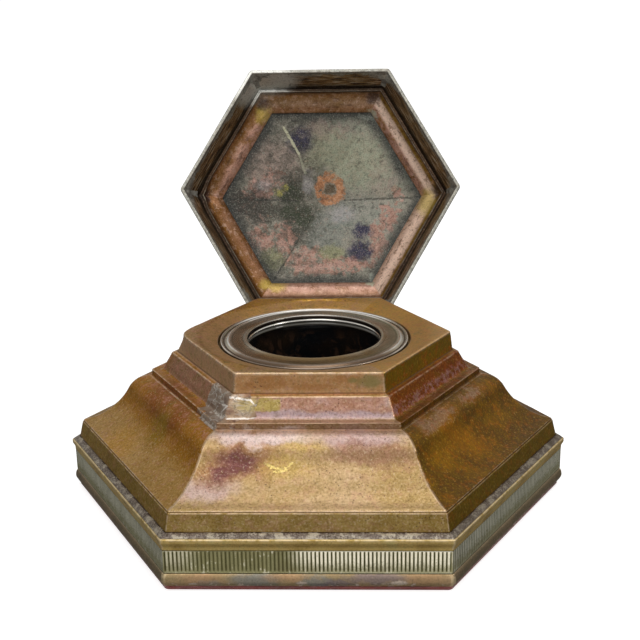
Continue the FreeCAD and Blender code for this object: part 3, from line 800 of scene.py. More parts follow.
def lid_brass():
    g = Graph("tarnished_lid_brass")
    inner = g.attribute("inner")
    e = g.sub(g.z, LEDGE)
    grain = g.noise(1.2, 6.0, 0.7, 2.0)
    tone = g.noise(0.13, 5.0, 0.6, 9.0, warp=0.4)
    at = g.warped(0.35, 5.0)
    streak = g.noise(0.8, 5.0, 0.6, 3.0, stretch=(0.22, 0.22, 2.4))
    front, right, left = g.side_masks()
    rear = g.step(g.add(g.mul(g.y, T30), g.mul(g.m("ABSOLUTE", g.x), -1.0)), -0.1, 0.1)
    back = g.step(g.y, -0.1, 0.1)
    ends = g.both(back, g.inv(rear))
    low_left, low_right = g.both(left, ends), g.both(right, ends)
    top_right = g.both(right, g.inv(back))
    skirt = g.ramp(streak, [(0.38, (0.03, 0.022, 0.016)), (0.46, (0.20, 0.115, 0.045)),
            (0.54, (0.42, 0.26, 0.11)), (0.62, (0.66, 0.58, 0.44))])
    skirt = g.tint(skirt, g.step(e, 7.2, 9.8), (0.02, 0.015, 0.012), 0.85)
    ogee = g.ramp(tone, [(0.3, (0.20, 0.105, 0.045)), (0.48, (0.36, 0.19, 0.09)),
            (0.62, (0.45, 0.26, 0.14)), (0.78, (0.36, 0.25, 0.09))])
    ogee = g.tint(ogee, front, (0.24, 0.155, 0.06), 0.5)
    ogee = g.tint(ogee, low_left, (0.16, 0.07, 0.02), 0.8)
    pink = g.both(g.step(g.stir(e, tone, 3.0), 12.9, 14.4),
            g.step(g.noise(0.25, 5.0, 0.65, 27.0), 0.34, 0.52))
    pink = g.both(pink, g.inv(g.mul(g.peak(front, low_left), 0.75)))
    ogee = g.tint(ogee, pink, (0.66, 0.40, 0.32), 0.85)
    gilt = g.both(g.peak(top_right, low_right), g.band(e, 11.4, 12.8, 0.35))
    ogee = g.tint(ogee, gilt, (0.42, 0.30, 0.08), 0.6)
    # painted highlight: a pink-white line along the ogee on the right sides
    ogee = g.tint(ogee, g.both(low_right, g.step(e, 12.4, 13.2)), (0.98, 0.74, 0.60), 0.8)
    ogee = g.tint(ogee, g.both(top_right, g.band(e, 12.9, 14.4, 0.3)), (0.98, 0.76, 0.62), 0.8)
    ogee = g.tint(ogee, rear, (0.44, 0.29, 0.24), 0.5)
    tarnish = g.noise(0.5, 6.0, 0.72, 18.0)
    ogee = g.tint(ogee, g.step(tarnish, 0.46, 0.38), (0.20, 0.10, 0.05), 0.6)
    ogee = g.tint(ogee, g.step(tarnish, 0.54, 0.62), (0.85, 0.62, 0.50), 0.35)
    worn_lines = g.both(g.step(g.noise(0.6, 5.0, 0.65, 71.0, stretch=(0.3, 0.3, 2.2)), 0.45, 0.36),
            g.inv(rear))
    ogee = g.tint(ogee, worn_lines, (0.13, 0.075, 0.05), 0.6)
    col = g.mix(g.step(e, 10.1, 10.3), skirt, ogee)
    for spots, soft, colour, amount in (
            ([(37.5, 3, 52.5, 3.4, 5, 4), (-20.5, -30, 52.6, 3, 3.5, 3),
             (-17, 31.5, 53, 4.5, 2.5, 3)], 0.5, (0.62, 0.48, 0.15), 0.7),
            ([(-20.4, -33.2, 51.5, 2.4, 2.2, 1.8), (18.5, -35.0, 51, 2.6, 2.2, 2),
             (41, -1.0, 50.6, 2.0, 2.6, 1.8), (-41, 0,
             50.2, 2.4, 3.0, 1.6)], 0.5, (0.045, 0.03, 0.035), 0.8),
            ([(17.5, -29.5, 53.6, 2.2, 1.8, 1.6), (17.0, 31, 54, 1.6, 1.4, 1.5)],
             0.3, (0.62, 0.64, 0.50), 0.8)):
        col = g.tint(col, g.patches(at, spots, soft), colour, amount)
    groove = g.band(e, 10.15, 11.15, 0.12)
    col = g.tint(col, groove, (0.018, 0.014, 0.012), 0.85)
    ragged = g.stir(e, g.noise(0.2, 5.0, 0.6, 88.0), 7.0)
    rim = g.step(ragged, 3.2, 1.8)
    lead_tone = g.ramp(grain, [(0.3, (0.12, 0.12, 0.10)),
            (0.5, (0.36, 0.36, 0.32)), (0.66, (0.58, 0.58, 0.52))])
    corner = g.patches(at, [(-20, -38, 42, 12, 9, 8), (-46, 2, 40, 4, 7, 4),
            (46, 2, 40, 4, 7, 5), (23, -40, 40, 6, 5, 3.4)], 0.3)
    rim = g.peak(rim, corner)
    col = g.tint(col, rim, lead_tone, 0.9)
    # pale solder at the front-left corner, lightened further as a painted highlight
    pale_solder_highlight = g.both(g.patches(at, [(-20, -38, 42, 12, 9, 8)], 0.3), g.step(grain, 0.30, 0.45))
    col = g.tint(col, pale_solder_highlight, (0.90, 0.90, 0.84), 0.8)
    out = lid_outside(g, tone)
    out = g.tint(out, g.step(e, 2.4, 1.4), (0.34, 0.33, 0.28), 0.6)
    outside = g.both(g.step(inner, 0.6, 0.4), g.step(e, 0.25, 0.6))
    col = g.tint(col, outside, out)
    col = g.speckled(col, (0.05, 0.035, 0.025), (0.66, 0.52, 0.40), 0.75, 1.8)
    bright, crease_dark = g.edge_masks(0.35)
    col = g.tint(col, crease_dark, (0.02, 0.016, 0.012), 0.9)
    col = g.tint(col, bright, (0.50, 0.47, 0.38), 0.45)
    col = g.saturate(col, g.add(1.0, g.mul(g.both(g.inv(front), inner, g.step(e, 10.1, 10.3)), 0.14)))
    rough = g.stir(0.36, grain, 0.5, clamp=True)
    return g.metal(col, rough, 0.85, [(tone, 0.10), (grain, 0.06)])


def cap_brass():
    g = Graph("mottled_cap_brass")
    inner = g.attribute("inner")
    grain = g.noise(1.1, 6.0, 0.75, 2.0)
    fine = g.noise(2.6, 4.0, 0.7, 4.0)
    big = g.noise(0.10, 6.0, 0.65, 7.0, warp=0.7)
    at = g.warped(0.30, 15.0)
    near = g.warped(0.45, 6.5, 6.0)
    col = g.ramp(big, [(0.30, (0.12, 0.115, 0.09)), (0.45, (0.24, 0.23, 0.18)),
            (0.58, (0.31, 0.285, 0.225)), (0.72, (0.21, 0.23, 0.175))])
    for spots, soft, colour, amount in (
            ([(-18, -13, 57, 11, 9, 9), (22, -8, 57, 5, 7, 9),
             (1, -25, 57, 8, 3.5, 9)], 0.4, (0.34, 0.22, 0.185), 0.5),
            ([(13, -14, 58, 11, 9, 9), (2, -18, 58, 9, 7, 9)], 0.45, (0.36, 0.36, 0.23), 0.6),
            ([(12, 6, 59, 14, 7, 9), (2, 12, 59, 9, 6, 9)], 0.35, (0.17, 0.19, 0.17), 0.6)):
        col = g.tint(col, g.patches(at, spots, soft), colour, amount)
    col = g.tint(col, g.step(g.x, 2.0, 20.0), (0.62, 0.58, 0.46), 0.22)
    dark = g.patches(at, [(-27, 1.5, 56, 7, 5, 9), (-10, -2, 59, 5, 9, 9),
            (-7, 5, 60, 6, 6, 9), (-9, 11, 59, 4, 5, 9), (-21, 4, 57, 8, 3.5, 9)], 0.35)
    col = g.tint(col, dark, (0.05, 0.05, 0.035), 0.72)
    pine = g.patches(near, [(-11, -1.9, 59, 3.4, 4, 9), (-7, 6, 60, 3.6, 4, 9), (-12, 5, 59, 3, 3, 9)], 0.4)
    col = g.tint(col, pine, (0.035, 0.05, 0.025), 0.75)
    salmon = g.patches(at, [(-22, 14, 56, 4.2, 6.5, 9), (-13, 15, 57, 3.4, 7, 9), (-4, 23, 57, 7.5, 5.5, 9),
            (6, 24, 56, 8, 3.2, 9), (14, 23, 56, 6, 3.2, 9), (20, 15, 56, 3.2, 7, 9), (24, 7, 56, 4,
            4.5, 9), (-17, -8.7, 57.6, 3.2, 2.8, 9), (-22,
            -3.5, 57, 5, 4, 9), (27, -2, 56, 2.4, 3, 9)], 0.16)
    fleck = g.step(g.noise(0.36, 7.0, 0.78, 40.0), 0.42, 0.48)
    blush = g.ramp(g.noise(0.35, 5.0, 0.65, 90.0),
            [(0.3, (0.30, 0.15, 0.10)), (0.5, (0.46, 0.24, 0.18)), (0.7, (0.60, 0.38, 0.31))])
    col = g.tint(col, g.both(salmon, fleck), blush, 0.85)
    for spots, soft, colour, amount in (
            ([(3.5, 19.4, 57.5, 4.6, 2.8, 9), (-17.5, 22, 56, 4.2, 4, 9)], 0.3, (0.26, 0.26, 0.14), 0.85),
            ([(-7.6, -21.7, 57, 4.4, 4.6, 9), (14.4, 11.8, 58, 3.4, 2.8, 9),
             (13.7, 18.9, 57, 4.2, 3.6, 9)], 0.4, (0.035, 0.032, 0.07), 0.95),
            ([(-21, -5, 57, 3.4, 2.0, 9), (-5, -6, 60, 1.8, 4.4, 9),
             (7, 5.5, 60, 4.5, 3, 9)], 0.5, (0.46, 0.43, 0.43), 0.5),
            ([(-15.5, -3.0, 58.6, 1.9, 1.3, 9), (-13, -4.5, 58.6, 1.2, 1.2, 9)],
             0.5, (0.42, 0.38, 0.10), 0.8)):
        col = g.tint(col, g.patches(near, spots, soft), colour, amount)
    murk = g.noise(0.4, 6.0, 0.75, 33.0)
    col = g.tint(col, g.step(murk, 0.49, 0.36), (0.05, 0.05, 0.04), 0.6)
    col = g.tint(col, g.step(murk, 0.53, 0.66), (0.50, 0.42, 0.36), 0.35)
    col = g.tint(col, g.patches(at, [(-27, 3, 56, 9, 6, 9)], 0.5), (0.05, 0.04, 0.035), 0.8)
    gloom = g.both(g.step(g.stir(g.x, big, 26.0), 2.0, -8.0),
            g.step(g.noise(0.32, 7.0, 0.75, 61.0), 0.56, 0.44))
    col = g.tint(col, gloom, (0.06, 0.058, 0.045), 0.55)
    verdigris = g.both(g.step(g.x, -3.0, 6.0), g.step(g.y, 1.0, -5.0),
            g.step(g.noise(0.5, 7.0, 0.75, 65.0), 0.46, 0.56))
    col = g.tint(col, verdigris, (0.36, 0.42, 0.30), 0.4)
    ember = g.step(g.noise(0.7, 7.0, 0.8, 93.0), 0.58, 0.64)
    col = g.tint(col, ember, (0.46, 0.28, 0.20), 0.4)
    mould = g.both(g.step(g.noise(0.9, 5.0, 0.7, 22.0), 0.60, 0.66), g.step(big, 0.4, 0.55))
    col = g.tint(col, mould, (0.36, 0.40, 0.30), 0.6)
    # ring mark left round the middle, with the bare dark metal inside it
    rel = g.vec("MULTIPLY", g.vec("SUBTRACT", g.warped(0.4, 4.5, 12.0), (2.9, -4.2, 0)), (1, 0.92, 0))
    radius = g.vec("LENGTH", rel)
    eaten = g.step(g.noise(0.55, 6.0, 0.75, 51.0), 0.38, 0.45)
    ring_col = g.ramp(murk, [(0.36, (0.30, 0.13, 0.06)),
            (0.5, (0.52, 0.23, 0.10)), (0.64, (0.66, 0.36, 0.20))])
    col = g.tint(col, g.both(g.band(radius, 2.2, 5.5, 0.5), eaten), ring_col, 0.92)
    col = g.tint(col, g.step(radius, 2.3, 1.2), (0.11, 0.065, 0.03), 0.8)
    # seams: filled pale on one, dark on the others
    _, crease_dark = g.edge_masks(0.3)
    col = g.tint(col, crease_dark, (0.03, 0.03, 0.03), 0.75)
    fine_at = g.warped(0.9, 1.2, 3.0)
    pale = g.segment(fine_at, (-13.6, -25.9, 56.2), (-8.2, -16.6, 58.2), 0.40)
    col = g.tint(col, pale, (0.60, 0.58, 0.40), 0.9)
    faint = g.segment(fine_at, (-8.0, -16.0, 58.2), (-6.0, -9.8, 59.4), 0.4)
    faint = g.peak(faint, g.mul(g.segment(fine_at, (4.5, -7.5, 60), (13.2, -23.0, 56.8), 0.5), 0.7))
    col = g.tint(col, faint, (0.42, 0.42, 0.30), 0.55)
    crust = g.peak(g.segment(fine_at, (13.5, -29.6, 55.6), (18.5, -28.6, 55.4), 0.7),
            g.segment(fine_at, (17.5, 28.0, 55.6), (17.9, 30.2, 55.4), 0.7))
    col = g.tint(col, crust, (0.72, 0.76, 0.62), 0.85)
    creases = g.peak(g.segment(fine_at, (-35, 0.2, 55.2), (-9, 0.1, 60), 0.34),
            g.segment(fine_at, (8, 0.0, 60), (35, 0.2, 55.2), 0.34))
    creases = g.peak(creases, g.segment(fine_at, (-2, 3.5, 60.6), (-17, 29.5, 55.4), 0.3))
    col = g.tint(col, creases, (0.035, 0.035, 0.03), 0.65)
    e = g.sub(g.z, LEDGE)
    # painted shadow: a near-black line round the edge of the cap, under the ogee's inner lip
    col = g.tint(col, g.step(g.add(e, g.mul(big, 0.9)), 18.6, 17.5), (0.03, 0.034, 0.032), 0.85)
    out = lid_outside(g, big)
    col = g.tint(col, g.step(inner, 0.6, 0.4), out)
    col = g.speckled(col, (0.035, 0.03, 0.028), (0.52, 0.47, 0.40), 1.0, 2.0)
    rough = g.stir(0.50, grain, 0.6, clamp=True)
    metallic = g.sub(0.75, g.mul(mould, 0.5))
    return g.metal(col, rough, metallic, [(big, 0.15), (grain, 0.10), (fine, 0.03)])


def collar_metal():
    g = Graph("silvered_collar")
    rel = g.vec("MULTIPLY", g.p, (1, 1, 0))
    radius = g.vec("LENGTH", rel)
    rings = g.node("ShaderNodeTexNoise", noise_dimensions="1D")
    g.link(radius, rings.inputs["W"])
    rings.inputs["Scale"].default_value = 4.0
    rings.inputs["Detail"].default_value = 5.0
    rings = rings.outputs["Fac"]
    grain = g.noise(0.9, 5.0, 0.65, 2.0)
    fine = g.noise(2.4, 4.0, 0.7, 8.0)
    tone = g.noise(0.12, 4.0, 0.6, 4.0)
    col = g.ramp(tone, [(0.3, (0.34, 0.27, 0.17)), (0.5, (0.46, 0.40, 0.29)), (0.7, (0.54, 0.48, 0.38))])
    col = g.tint(col, g.step(rings, 0.5, 0.3), (0.16, 0.13, 0.08), 0.35)
    # painted highlight rings on the roll and the bead
    lines = g.peak(g.band(radius, 25.1, 26.2, 0.35), g.band(radius, 27.4, 28.3, 0.15))
    # painted reflection: the rear of the ring, facing the lights, lightened to silver
    silver_rear_sheen = g.step(g.stir(g.y, tone, 10.0), 10.0, 19.0)
    col = g.tint(col, silver_rear_sheen, (0.66, 0.61, 0.55), 0.8)
    gold = g.step(g.stir(g.y, tone, 12.0), -9.0, -19.0)
    col = g.tint(col, gold, (0.30, 0.175, 0.05), 0.85)
    outer = g.both(gold, g.step(radius, 25.4, 25.9))
    col = g.tint(col, outer, (0.16, 0.10, 0.08), 0.7)
    fleck = g.both(g.step(fine, 0.55, 0.68), g.inv(silver_rear_sheen))
    col = g.tint(col, fleck, (0.66, 0.60, 0.45), 0.14)
    col = g.tint(col, g.step(grain, 0.48, 0.32), (0.12, 0.10, 0.06), 0.16)
    # painted highlights as bright rings on the bead, roll and lip, and dark rings between them as painted
    # dark reflections; weaker at the front
    for low, high, soft, amount, tint in (
            (25.1, 26.2, 0.35, 0.75, (0.92, 0.88, 0.80)),
            (27.4, 28.3, 0.15, 0.7, (0.88, 0.85, 0.78)),
            (20.15, 20.8, 0.2, 0.6, (0.84, 0.79, 0.70)),
            (22.2, 24.3, 0.7, 0.35, (0.20, 0.155, 0.085)),
            (24.5, 24.75, 0.1, 0.55, (0.07, 0.05, 0.03)),
            (21.35, 21.6, 0.1, 0.5, (0.08, 0.06, 0.035))):
        amount = g.sub(amount, g.mul(gold, amount * 0.8))
        col = g.tint(col, g.band(radius, low, high, soft), tint, amount)
    # painted shade: the inside of the throat near black
    throat_shade = g.both(g.step(radius, 20.35, 20.1), g.band(g.z, 47.3, 48.4, 0.12))
    col = g.tint(col, throat_shade, (0.045, 0.03, 0.022), 0.92)
    # painted highlight: a bright line on the lip
    bead = g.both(g.step(radius, 20.2, 20.0), g.step(g.z, 47.3, 47.15))
    col = g.tint(col, bead, (0.85, 0.81, 0.74))
    bright, crease_dark = g.edge_masks(0.2)
    col = g.tint(col, crease_dark, (0.03, 0.026, 0.02), 0.9)
    col = g.tint(col, bright, (0.80, 0.76, 0.70), 0.5)
    rough = g.add(0.10, g.mul(grain, 0.20))
    # painted highlight: near-white rings on the bead and roll at the rear
    col = g.tint(col, g.both(lines, silver_rear_sheen), (0.97, 0.95, 0.90), 0.8)
    shine = g.sub(0.95, g.mul(g.both(lines, silver_rear_sheen), 0.6))
    return g.metal(col, rough, shine, [(rings, 0.03), (fine, 0.015)])


def ink_glass():
    g = Graph("ink_stained_glass")
    stain = g.noise(0.10, 5.0, 0.6, 2.0)
    col = g.ramp(stain, [(0.35, (0.004, 0.005, 0.006)), (0.65, (0.016, 0.010, 0.006))])
    rim = g.step(g.z, 45.1, 45.7)
    col = g.tint(col, rim, (0.10, 0.09, 0.07))
    ink = g.both(g.step(g.noise(0.22, 6.0, 0.7, 9.0, warp=0.8), 0.54, 0.60), g.step(g.z, 44.5, 40.0))
    col = g.tint(col, ink, (0.07, 0.035, 0.02), 0.5)
    rough = g.add(0.05, g.mul(stain, 0.10))
    return g.metal(col, rough, 0.0, [(stain, 0.12)], IOR=1.52, Coat_Weight=1.0, Coat_Roughness=0.04)


def plain_detail(name, a, b, rough, metallic, depth, own=True, scale=0.9):
    g = Graph(name, own)
    grain = g.noise(scale, 6.0, 0.7, 2.0)
    tone = g.noise(0.12, 4.0, 0.6, 7.0)
    col = g.mix(g.step(tone, 0.35, 0.65), a, b)
    col = g.tint(col, g.step(grain, 0.48, 0.3), tuple(c * 0.35 for c in a), 0.5)
    return g.metal(col, g.add(rough - 0.1, g.mul(grain, 0.2)), metallic, [(grain, depth)])


def baize():
    g = Graph("dark_red_baize")
    fibre = g.noise(3.5, 6.0, 0.8, 2.0)
    tone = g.noise(0.1, 4.0, 0.6, 5.0)
    col = g.ramp(tone, [(0.35, (0.10, 0.012, 0.010)),
            (0.6, (0.17, 0.02, 0.015)), (0.8, (0.10, 0.03, 0.02))])
    col = g.tint(col, g.step(fibre, 0.5, 0.7), (0.26, 0.07, 0.05), 0.4)
    return g.metal(col, 0.95, 0.0, [(fibre, 0.25)], Sheen_Weight=0.4, Sheen_Roughness=0.5)


MAT = {"body": body_brass(), "plinth": plinth_brass(), "band": band_brass(), "solder": solder(),
       "repair": repair_solder(), "lead": lead(), "lid": lid_brass(), "cap": cap_brass(),
       "collar": collar_metal(), "glass": ink_glass(), "baize": baize(),
       "cement": plain_detail("old_cement", (0.52, 0.48, 0.40), (0.40, 0.36, 0.29), 0.9, 0.0, 0.1),
       "hinge": plain_detail("hinge_brass", (0.44, 0.31, 0.14), (0.30, 0.20, 0.08), 0.45, 0.9, 0.04, False),
       "pin": plain_detail("hinge_pin_steel", (0.30, 0.29, 0.27), (0.20, 0.15, 0.11),
                           0.45, 0.95, 0.03, False),
       "hidden": plain_detail("inner_brass", (0.36, 0.26, 0.12), (0.24, 0.17, 0.08),
                              0.5, 0.85, 0.04, False)}


def dress(obj, material, body, slot, *nodes):
    obj.data.materials.clear()
    obj.data.materials.append(MAT[material])
    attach(obj, body)
    if nodes:
        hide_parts(*nodes)
    return obj


# ---------------------------------------------------------------- body panels
IN = {"inner": 1.0, "lift": 0.0}     # rows on the hidden back of the sheet, which stay smooth
INSIDE = {"inner": 1.0}              # rows on an inner face that is seen, and as uneven as the outer one
FLAT = {"lift": 0.0}
# the cavetto above the ledge; the solder repair lies on it
COVE = [(48.4, 37.92), (47.0, 37.92), (46.3, 38.2), (45.75, 39.0), (45.2, 40.1), (44.4, 41.4), (43.7, 42.6)]
body_rows = section([
    (73.5, 16.2, 0, -0.6),
    (72.3, 20.95, 0.16, 1.0), (72.02, 21.12, 0.06, -0.9), (71.98, 21.5, 0.18, 0.9),
    [(71.4, 21.75), (68.4, 22.6), (64.8, 24.4), (61.2, 27.2), (59.2, 29.3), (57.9, 31.1), (56.8, 32.9),
     (55.2, 34.5), (53.4, 35.55), (52.0, 35.95), (51.0, 36.1)],
    (50.5, 36.18, 0.22, 1.0), (49.8, 36.35, 0.1, -0.7), (49.72, 37.7, 0.05, -0.2),
    (49.8, 37.98, 0.22, 1.0),
    COVE,
    (43.3, 43.4, 0.22, 1.0), (41.65, 43.85, 0.15, -0.9), (41.5, 44.3),
    (41.0, 48.4),
    (39.6, 48.4, 0, 0, IN), (40.1, 43.6, 0, 0, IN), (41.9, 42.4, 0, 0, IN),
    (45.0, 36.9, 0, 0, IN), (47.4, 36.2, 0, 0, IN), (52.0, 34.6, 0, 0, IN), (55.4, 32.2, 0, 0, IN),
    (58.2, 28.2, 0, 0, IN), (63.6, 23.4, 0, 0, IN), (70.4, 20.4, 0, 0, IN), (72.0, 16.2, 0, 0, IN)])


def body_corner(row):
    return 0.9 if row.z > 21.6 else 0.55


for k, side in enumerate(SIDES):
    dress(sweep("body_panel_" + side + "_sheet", body_rows, k, 56, rho_at=body_corner),
          "body", "well_body", "body_brass", "body_panel_" + side)

# ---------------------------------------------------------------- top plate
def ringed(mix, radius, **more):
    return {"mix": mix, "ring": radius, **more}


plate_rows = section([
    (41.0, 48.4), (40.9, 49.6, 0.75, 1.0), (39.9, 49.6),
    (38.2, 49.5, 0, 0, ringed(0.6, 34.6)), (38.0, 49.33, 0, 0, ringed(1.0, 33.9)),
    (37.8, 49.05, 0, 0, ringed(1.0, 32.8)), (37.6, 48.7, 0, 0, ringed(1.0, 31.5)),
    (37.4, 48.35, 0, 0, ringed(1.0, 30.2)), (37.2, 48.08, 0, 0, ringed(1.0, 29.2)),
    (37.1, 48.0, 0, 0.8, ringed(1.0, 28.98)), (37.05, 47.9, 0, 0.4, ringed(1.0, 28.9)),
    (37.0, 46.8, 0, 0, ringed(1.0, 28.9, **IN)), (38.5, 48.3, 0, 0, ringed(1.0, 34.6, **IN)),
    (39.6, 48.4, 0, 0, IN)], step=5.0)
for row in plate_rows:
    if row.inner < 0.5 and 37.1 < row.d / C30 < 39.95:
        row.nd, row.nz = -0.2 if row.mix > 0.5 else 0.0, 0.98
dress(sweep("top_plate_sheet", plate_rows, None, 40, rho=1.3),
      "body", "well_body", "body_brass", "top_plate")

# ---------------------------------------------------------------- plinth
foot_rows = section([
    (71.0, 1.3, 0, 0, IN), (75.2, 1.3, 0.5),
    [(75.55, 1.75), (75.95, 2.5), (76.0, 3.2), (75.85, 4.1)],
    (75.3, 5.0, 0.35, 0.35), (71.0, 5.0, 0, -0.6, IN)], step=1.6)
lip_rows = section([
    (71.0, 11.7, 0, 0, IN), (75.3, 11.7, 0.12, -0.5),
    [(75.3, 12.1), (75.34, 12.7), (75.55, 13.2), (75.85, 13.6)],
    (76.0, 14.0, 0.12, 0.4), (76.0, 15.0, 0.28, 1.0),
    (73.4, 16.2, 0, -0.5), (71.0, 16.2, 0, 0, IN)], step=1.6)
dress(sweep("foot_moulding", foot_rows, None, 44, rho=1.6), "plinth", "well_body", "plinth_brass",
      "plinth_lower_moulding")
dress(sweep("lip_moulding", lip_rows, None, 44, rho=0.7), "plinth", "well_body", "plinth_brass",
      "plinth_upper_moulding")


def grains(p):
    return 0.02 + 0.11 * noise.noise(p * 0.9) + 0.09 * noise.noise(p * 2.1 + Vector((5, 2, 8)))


bead_rows = section([
    (73.2, 15.9, 0, 0, IN), (75.3, 14.95, 0, 0, IN), (75.6, 15.15, 0, 0, {"lift": 0.3}),
    [(75.35, 15.42), (74.9, 15.72), (74.4, 15.95), (73.95, 16.12)],
    (73.6, 16.12, 0, -0.8, {"lift": 0.3}), (73.3, 16.25, 0, -0.8, FLAT)], step=0.4)
dress(sweep("solder_bead", bead_rows, None, 150, rho=0.6, bump=grains), "solder", "well_body", "solder",
      "plinth_solder_bead")


# ---------------------------------------------------------------- repairs in solder
def corner_columns(left, reach, count, turns=6):
    """Columns round the corner that follows side left."""
    right = (left + 1) % 6
    cols = [(left, ("run", 1.0 - reach[0] * (count - i) / count, 0.0)) for i in range(count + 1)]
    cols += [(left, ("arc", 1, 30.0 * i / turns)) for i in range(turns + 1)]
    cols += [(right, ("arc", -1, 30.0 * (turns - i) / turns)) for i in range(1, turns + 1)]
    return cols + [(right, ("run", -1.0 + reach[1] * i / count, 0.0)) for i in range(count + 1)]


def smooth01(x):
    x = min(1.0, max(0.0, x))
    return x * x * (3 - 2 * x)


REPAIR_AT = Vector((-21.4, -35.3, 40.2))
REPAIR_REACH = 8.3      # how far the repair spreads from its middle
REPAIR_LEFT = 0.74      # distances count less on the left side, so it spreads further there


def patch_lift(p):
    """Height of the corner repair: proud inside a ragged outline, sunk outside it."""
    rough = noise.noise(p * 0.45) * 2.6 + noise.noise(p * 1.3 + Vector((3, 1, 4))) * 1.1
    on_left = p.y > T30 * 3 * p.x - 0.1 and p.x < -21.8
    far = (p - REPAIR_AT).length * (REPAIR_LEFT if on_left else 1.0)
    inside = smooth01(REPAIR_REACH + 0.7 * rough - far)
    lumps = 0.13 * noise.noise(p * 0.45 + Vector((8, 8, 2))) + 0.05 * noise.noise(p * 1.5)
    under_lid = smooth01((39.6 - p.z) / 1.2) * smooth01((p.z - 37.4) / 0.3)
    return inside * (0.2 + lumps) * (1 - 0.68 * under_lid) - (1 - inside) * 0.3


patch_rows = section([
    (50.7, 36.15), (50.1, 36.5), (49.9, 37.75), (49.6, 37.98),
    COVE,
    (43.2, 43.4), (42.2, 43.75),
    (41.8, 42.9, 0, 0, IN), (42.9, 41.4, 0, 0, IN), (44.6, 38.6, 0, 0, IN), (45.6, 37.3, 0, 0, IN),
    (48.7, 37.1, 0, 0, IN), (49.1, 36.2, 0, 0, IN), (50.2, 35.5, 0, 0, IN)], step=0.5)
dress(sweep("corner_repair", patch_rows, None, rho=1.2, bump=patch_lift,
            columns=corner_columns(5, (0.62, 0.62), 34)), "repair", "well_body", "solder")

# ---------------------------------------------------------------- fluted strips
FLUTES, FLUTE_DEPTH, BAND = 70, 0.36, (5.0, 11.7)
flute_rows = section([
    (74.0, 5.0, 0, 0, IN), (75.2, 5.0, 0.1, -0.9), (75.2, 5.3, 0, -0.2), (75.2, 5.6),
    (75.2, 6.1), (75.2, 10.7), (75.2, 11.2), (75.2, 11.45, 0, -0.2),
    (75.2, 11.7, 0.1, -0.9), (74.0, 11.7, 0, 0, IN)], step=1.2)
half_band = 75.2 * C30 * T30
margin = 0.55       # plain metal beside the corner, before the first rib
pitch = 2 * (half_band - margin) / FLUTES
flute_cols = []
for i in range(FLUTES):
    for j in range(8):
        along = -half_band + margin + pitch * (i + j / 8.0)
        flute_cols.append(("run", along / (half_band - 0.3 * T30 - NEAR), j / 8.0, i))


def flute(p, row, col, side):
    """Pushes the surface in between the ribs and rounds off the ends of the flutes."""
    if len(col) < 4 or row.inner > 0.5:
        return p, 0.5
    share = 0.5 - 0.5 * math.cos(2 * math.pi * col[2])
    groove = 1.0 - share ** 0.8
    ends = (min(1.0, max(0.0, (row.z - BAND[0] - 0.1) / 0.6))
            * min(1.0, max(0.0, (BAND[1] - 0.05 - row.z) / 0.5)))
    uneven = 0.85 + 0.3 * noise.noise(Vector((col[3] * 0.37, side * 7.1, row.z * 0.15)))
    depth = FLUTE_DEPTH * groove * ends * uneven
    angle = math.radians(-90.0 + 60.0 * side)
    q = p - Vector((math.cos(angle), math.sin(angle), 0)) * depth
    return q, 1.0 - groove * ends


for k, side in enumerate(SIDES):
    cols = side_columns(2, 3)[:4] + flute_cols + side_columns(2, 3)[-4:]
    dress(sweep("fluted_strip_" + side, flute_rows, k, rho=0.3, columns=cols, rib=flute,
                bump=lambda p: ripple(p, 0.03)), "band", "well_body", "band_brass", "fluted_band_" + side)

# ---------------------------------------------------------------- baize
baize_rows = section([
    (74.7, 0.0, 0.3), (74.9, 1.22, 0.2), (40.0, 1.25, 0, 0, FLAT),
    (0.4, 1.25, 0, 0, FLAT), (0.4, 0.02, 0, 0, FLAT),
    (40.0, 0.0, 0, 0, FLAT)], step=3.0)
pad = dress(sweep("baize_cloth", baize_rows, None, 90, rho=1.6,
                  bump=lambda p: -0.2 + 0.2 * noise.noise(p * 1.1) if p.z > 0.1 else 0.0),
            "baize", "well_body", "baize", "baize_pad")


# ---------------------------------------------------------------- lid
def raised(item):
    """A section item with its heights measured from the ledge."""
    if isinstance(item, list):
        return [(s, z + LEDGE) for s, z in item]
    if isinstance(item[0], list):
        return (raised(item[0]), item[1])
    return (item[0], item[1] + LEDGE, *item[2:])


def lid_spec(spec):
    return [raised(item) for item in spec]


skirt_rows = section(lid_spec([
    (48.1, 0.2, 0.25, 0.8), (48.1, 1.6, 0.3, 0.6), (47.5, 2.0, 0.2, -0.7),
    (45.1, 11.0), (43.7, 11.0, 0, -0.8, INSIDE), (46.8, 1.0, 0.3, -0.4, INSIDE),
    (46.8, 0.2, 0.25, 0.8, INSIDE)]), step=1.2)
ogee_rows = section(lid_spec([
    (42.9, 10.3, 0.1, 0.2, INSIDE), (42.9, 11.0, 0, -0.8, INSIDE), (45.1, 11.0, 0, -0.6),
    [(45.05, 11.5), (44.9, 12.1), (43.9, 13.3), (41.3, 14.6), (39.0, 15.9), (38.0, 17.1)],
    (37.7, 17.7), (37.3, 17.9, 0, -0.5), (36.5, 16.8, 0, -0.8, INSIDE),
    (36.4, 16.6, 0, -0.8, INSIDE), (35.5, 16.5, 0.1, -0.3, INSIDE), (35.4, 16.2, 0.15, 0.5, INSIDE),
    ([(35.8, 15.8), (36.5, 15.3), (37.7, 14.5), (40.0, 13.5), (41.7, 12.4), (42.2, 11.5)], INSIDE),
    (42.4, 10.3, 0.15, 1.0, INSIDE)]), step=1.0)
cap_rows = section(lid_spec([
    (36.5, 16.8, 0, -0.6, INSIDE), (0.05, 23.59, 0, 0, INSIDE), (0.05, 24.79),
    (37.3, 17.9, 0, -0.4)]), step=1.0)
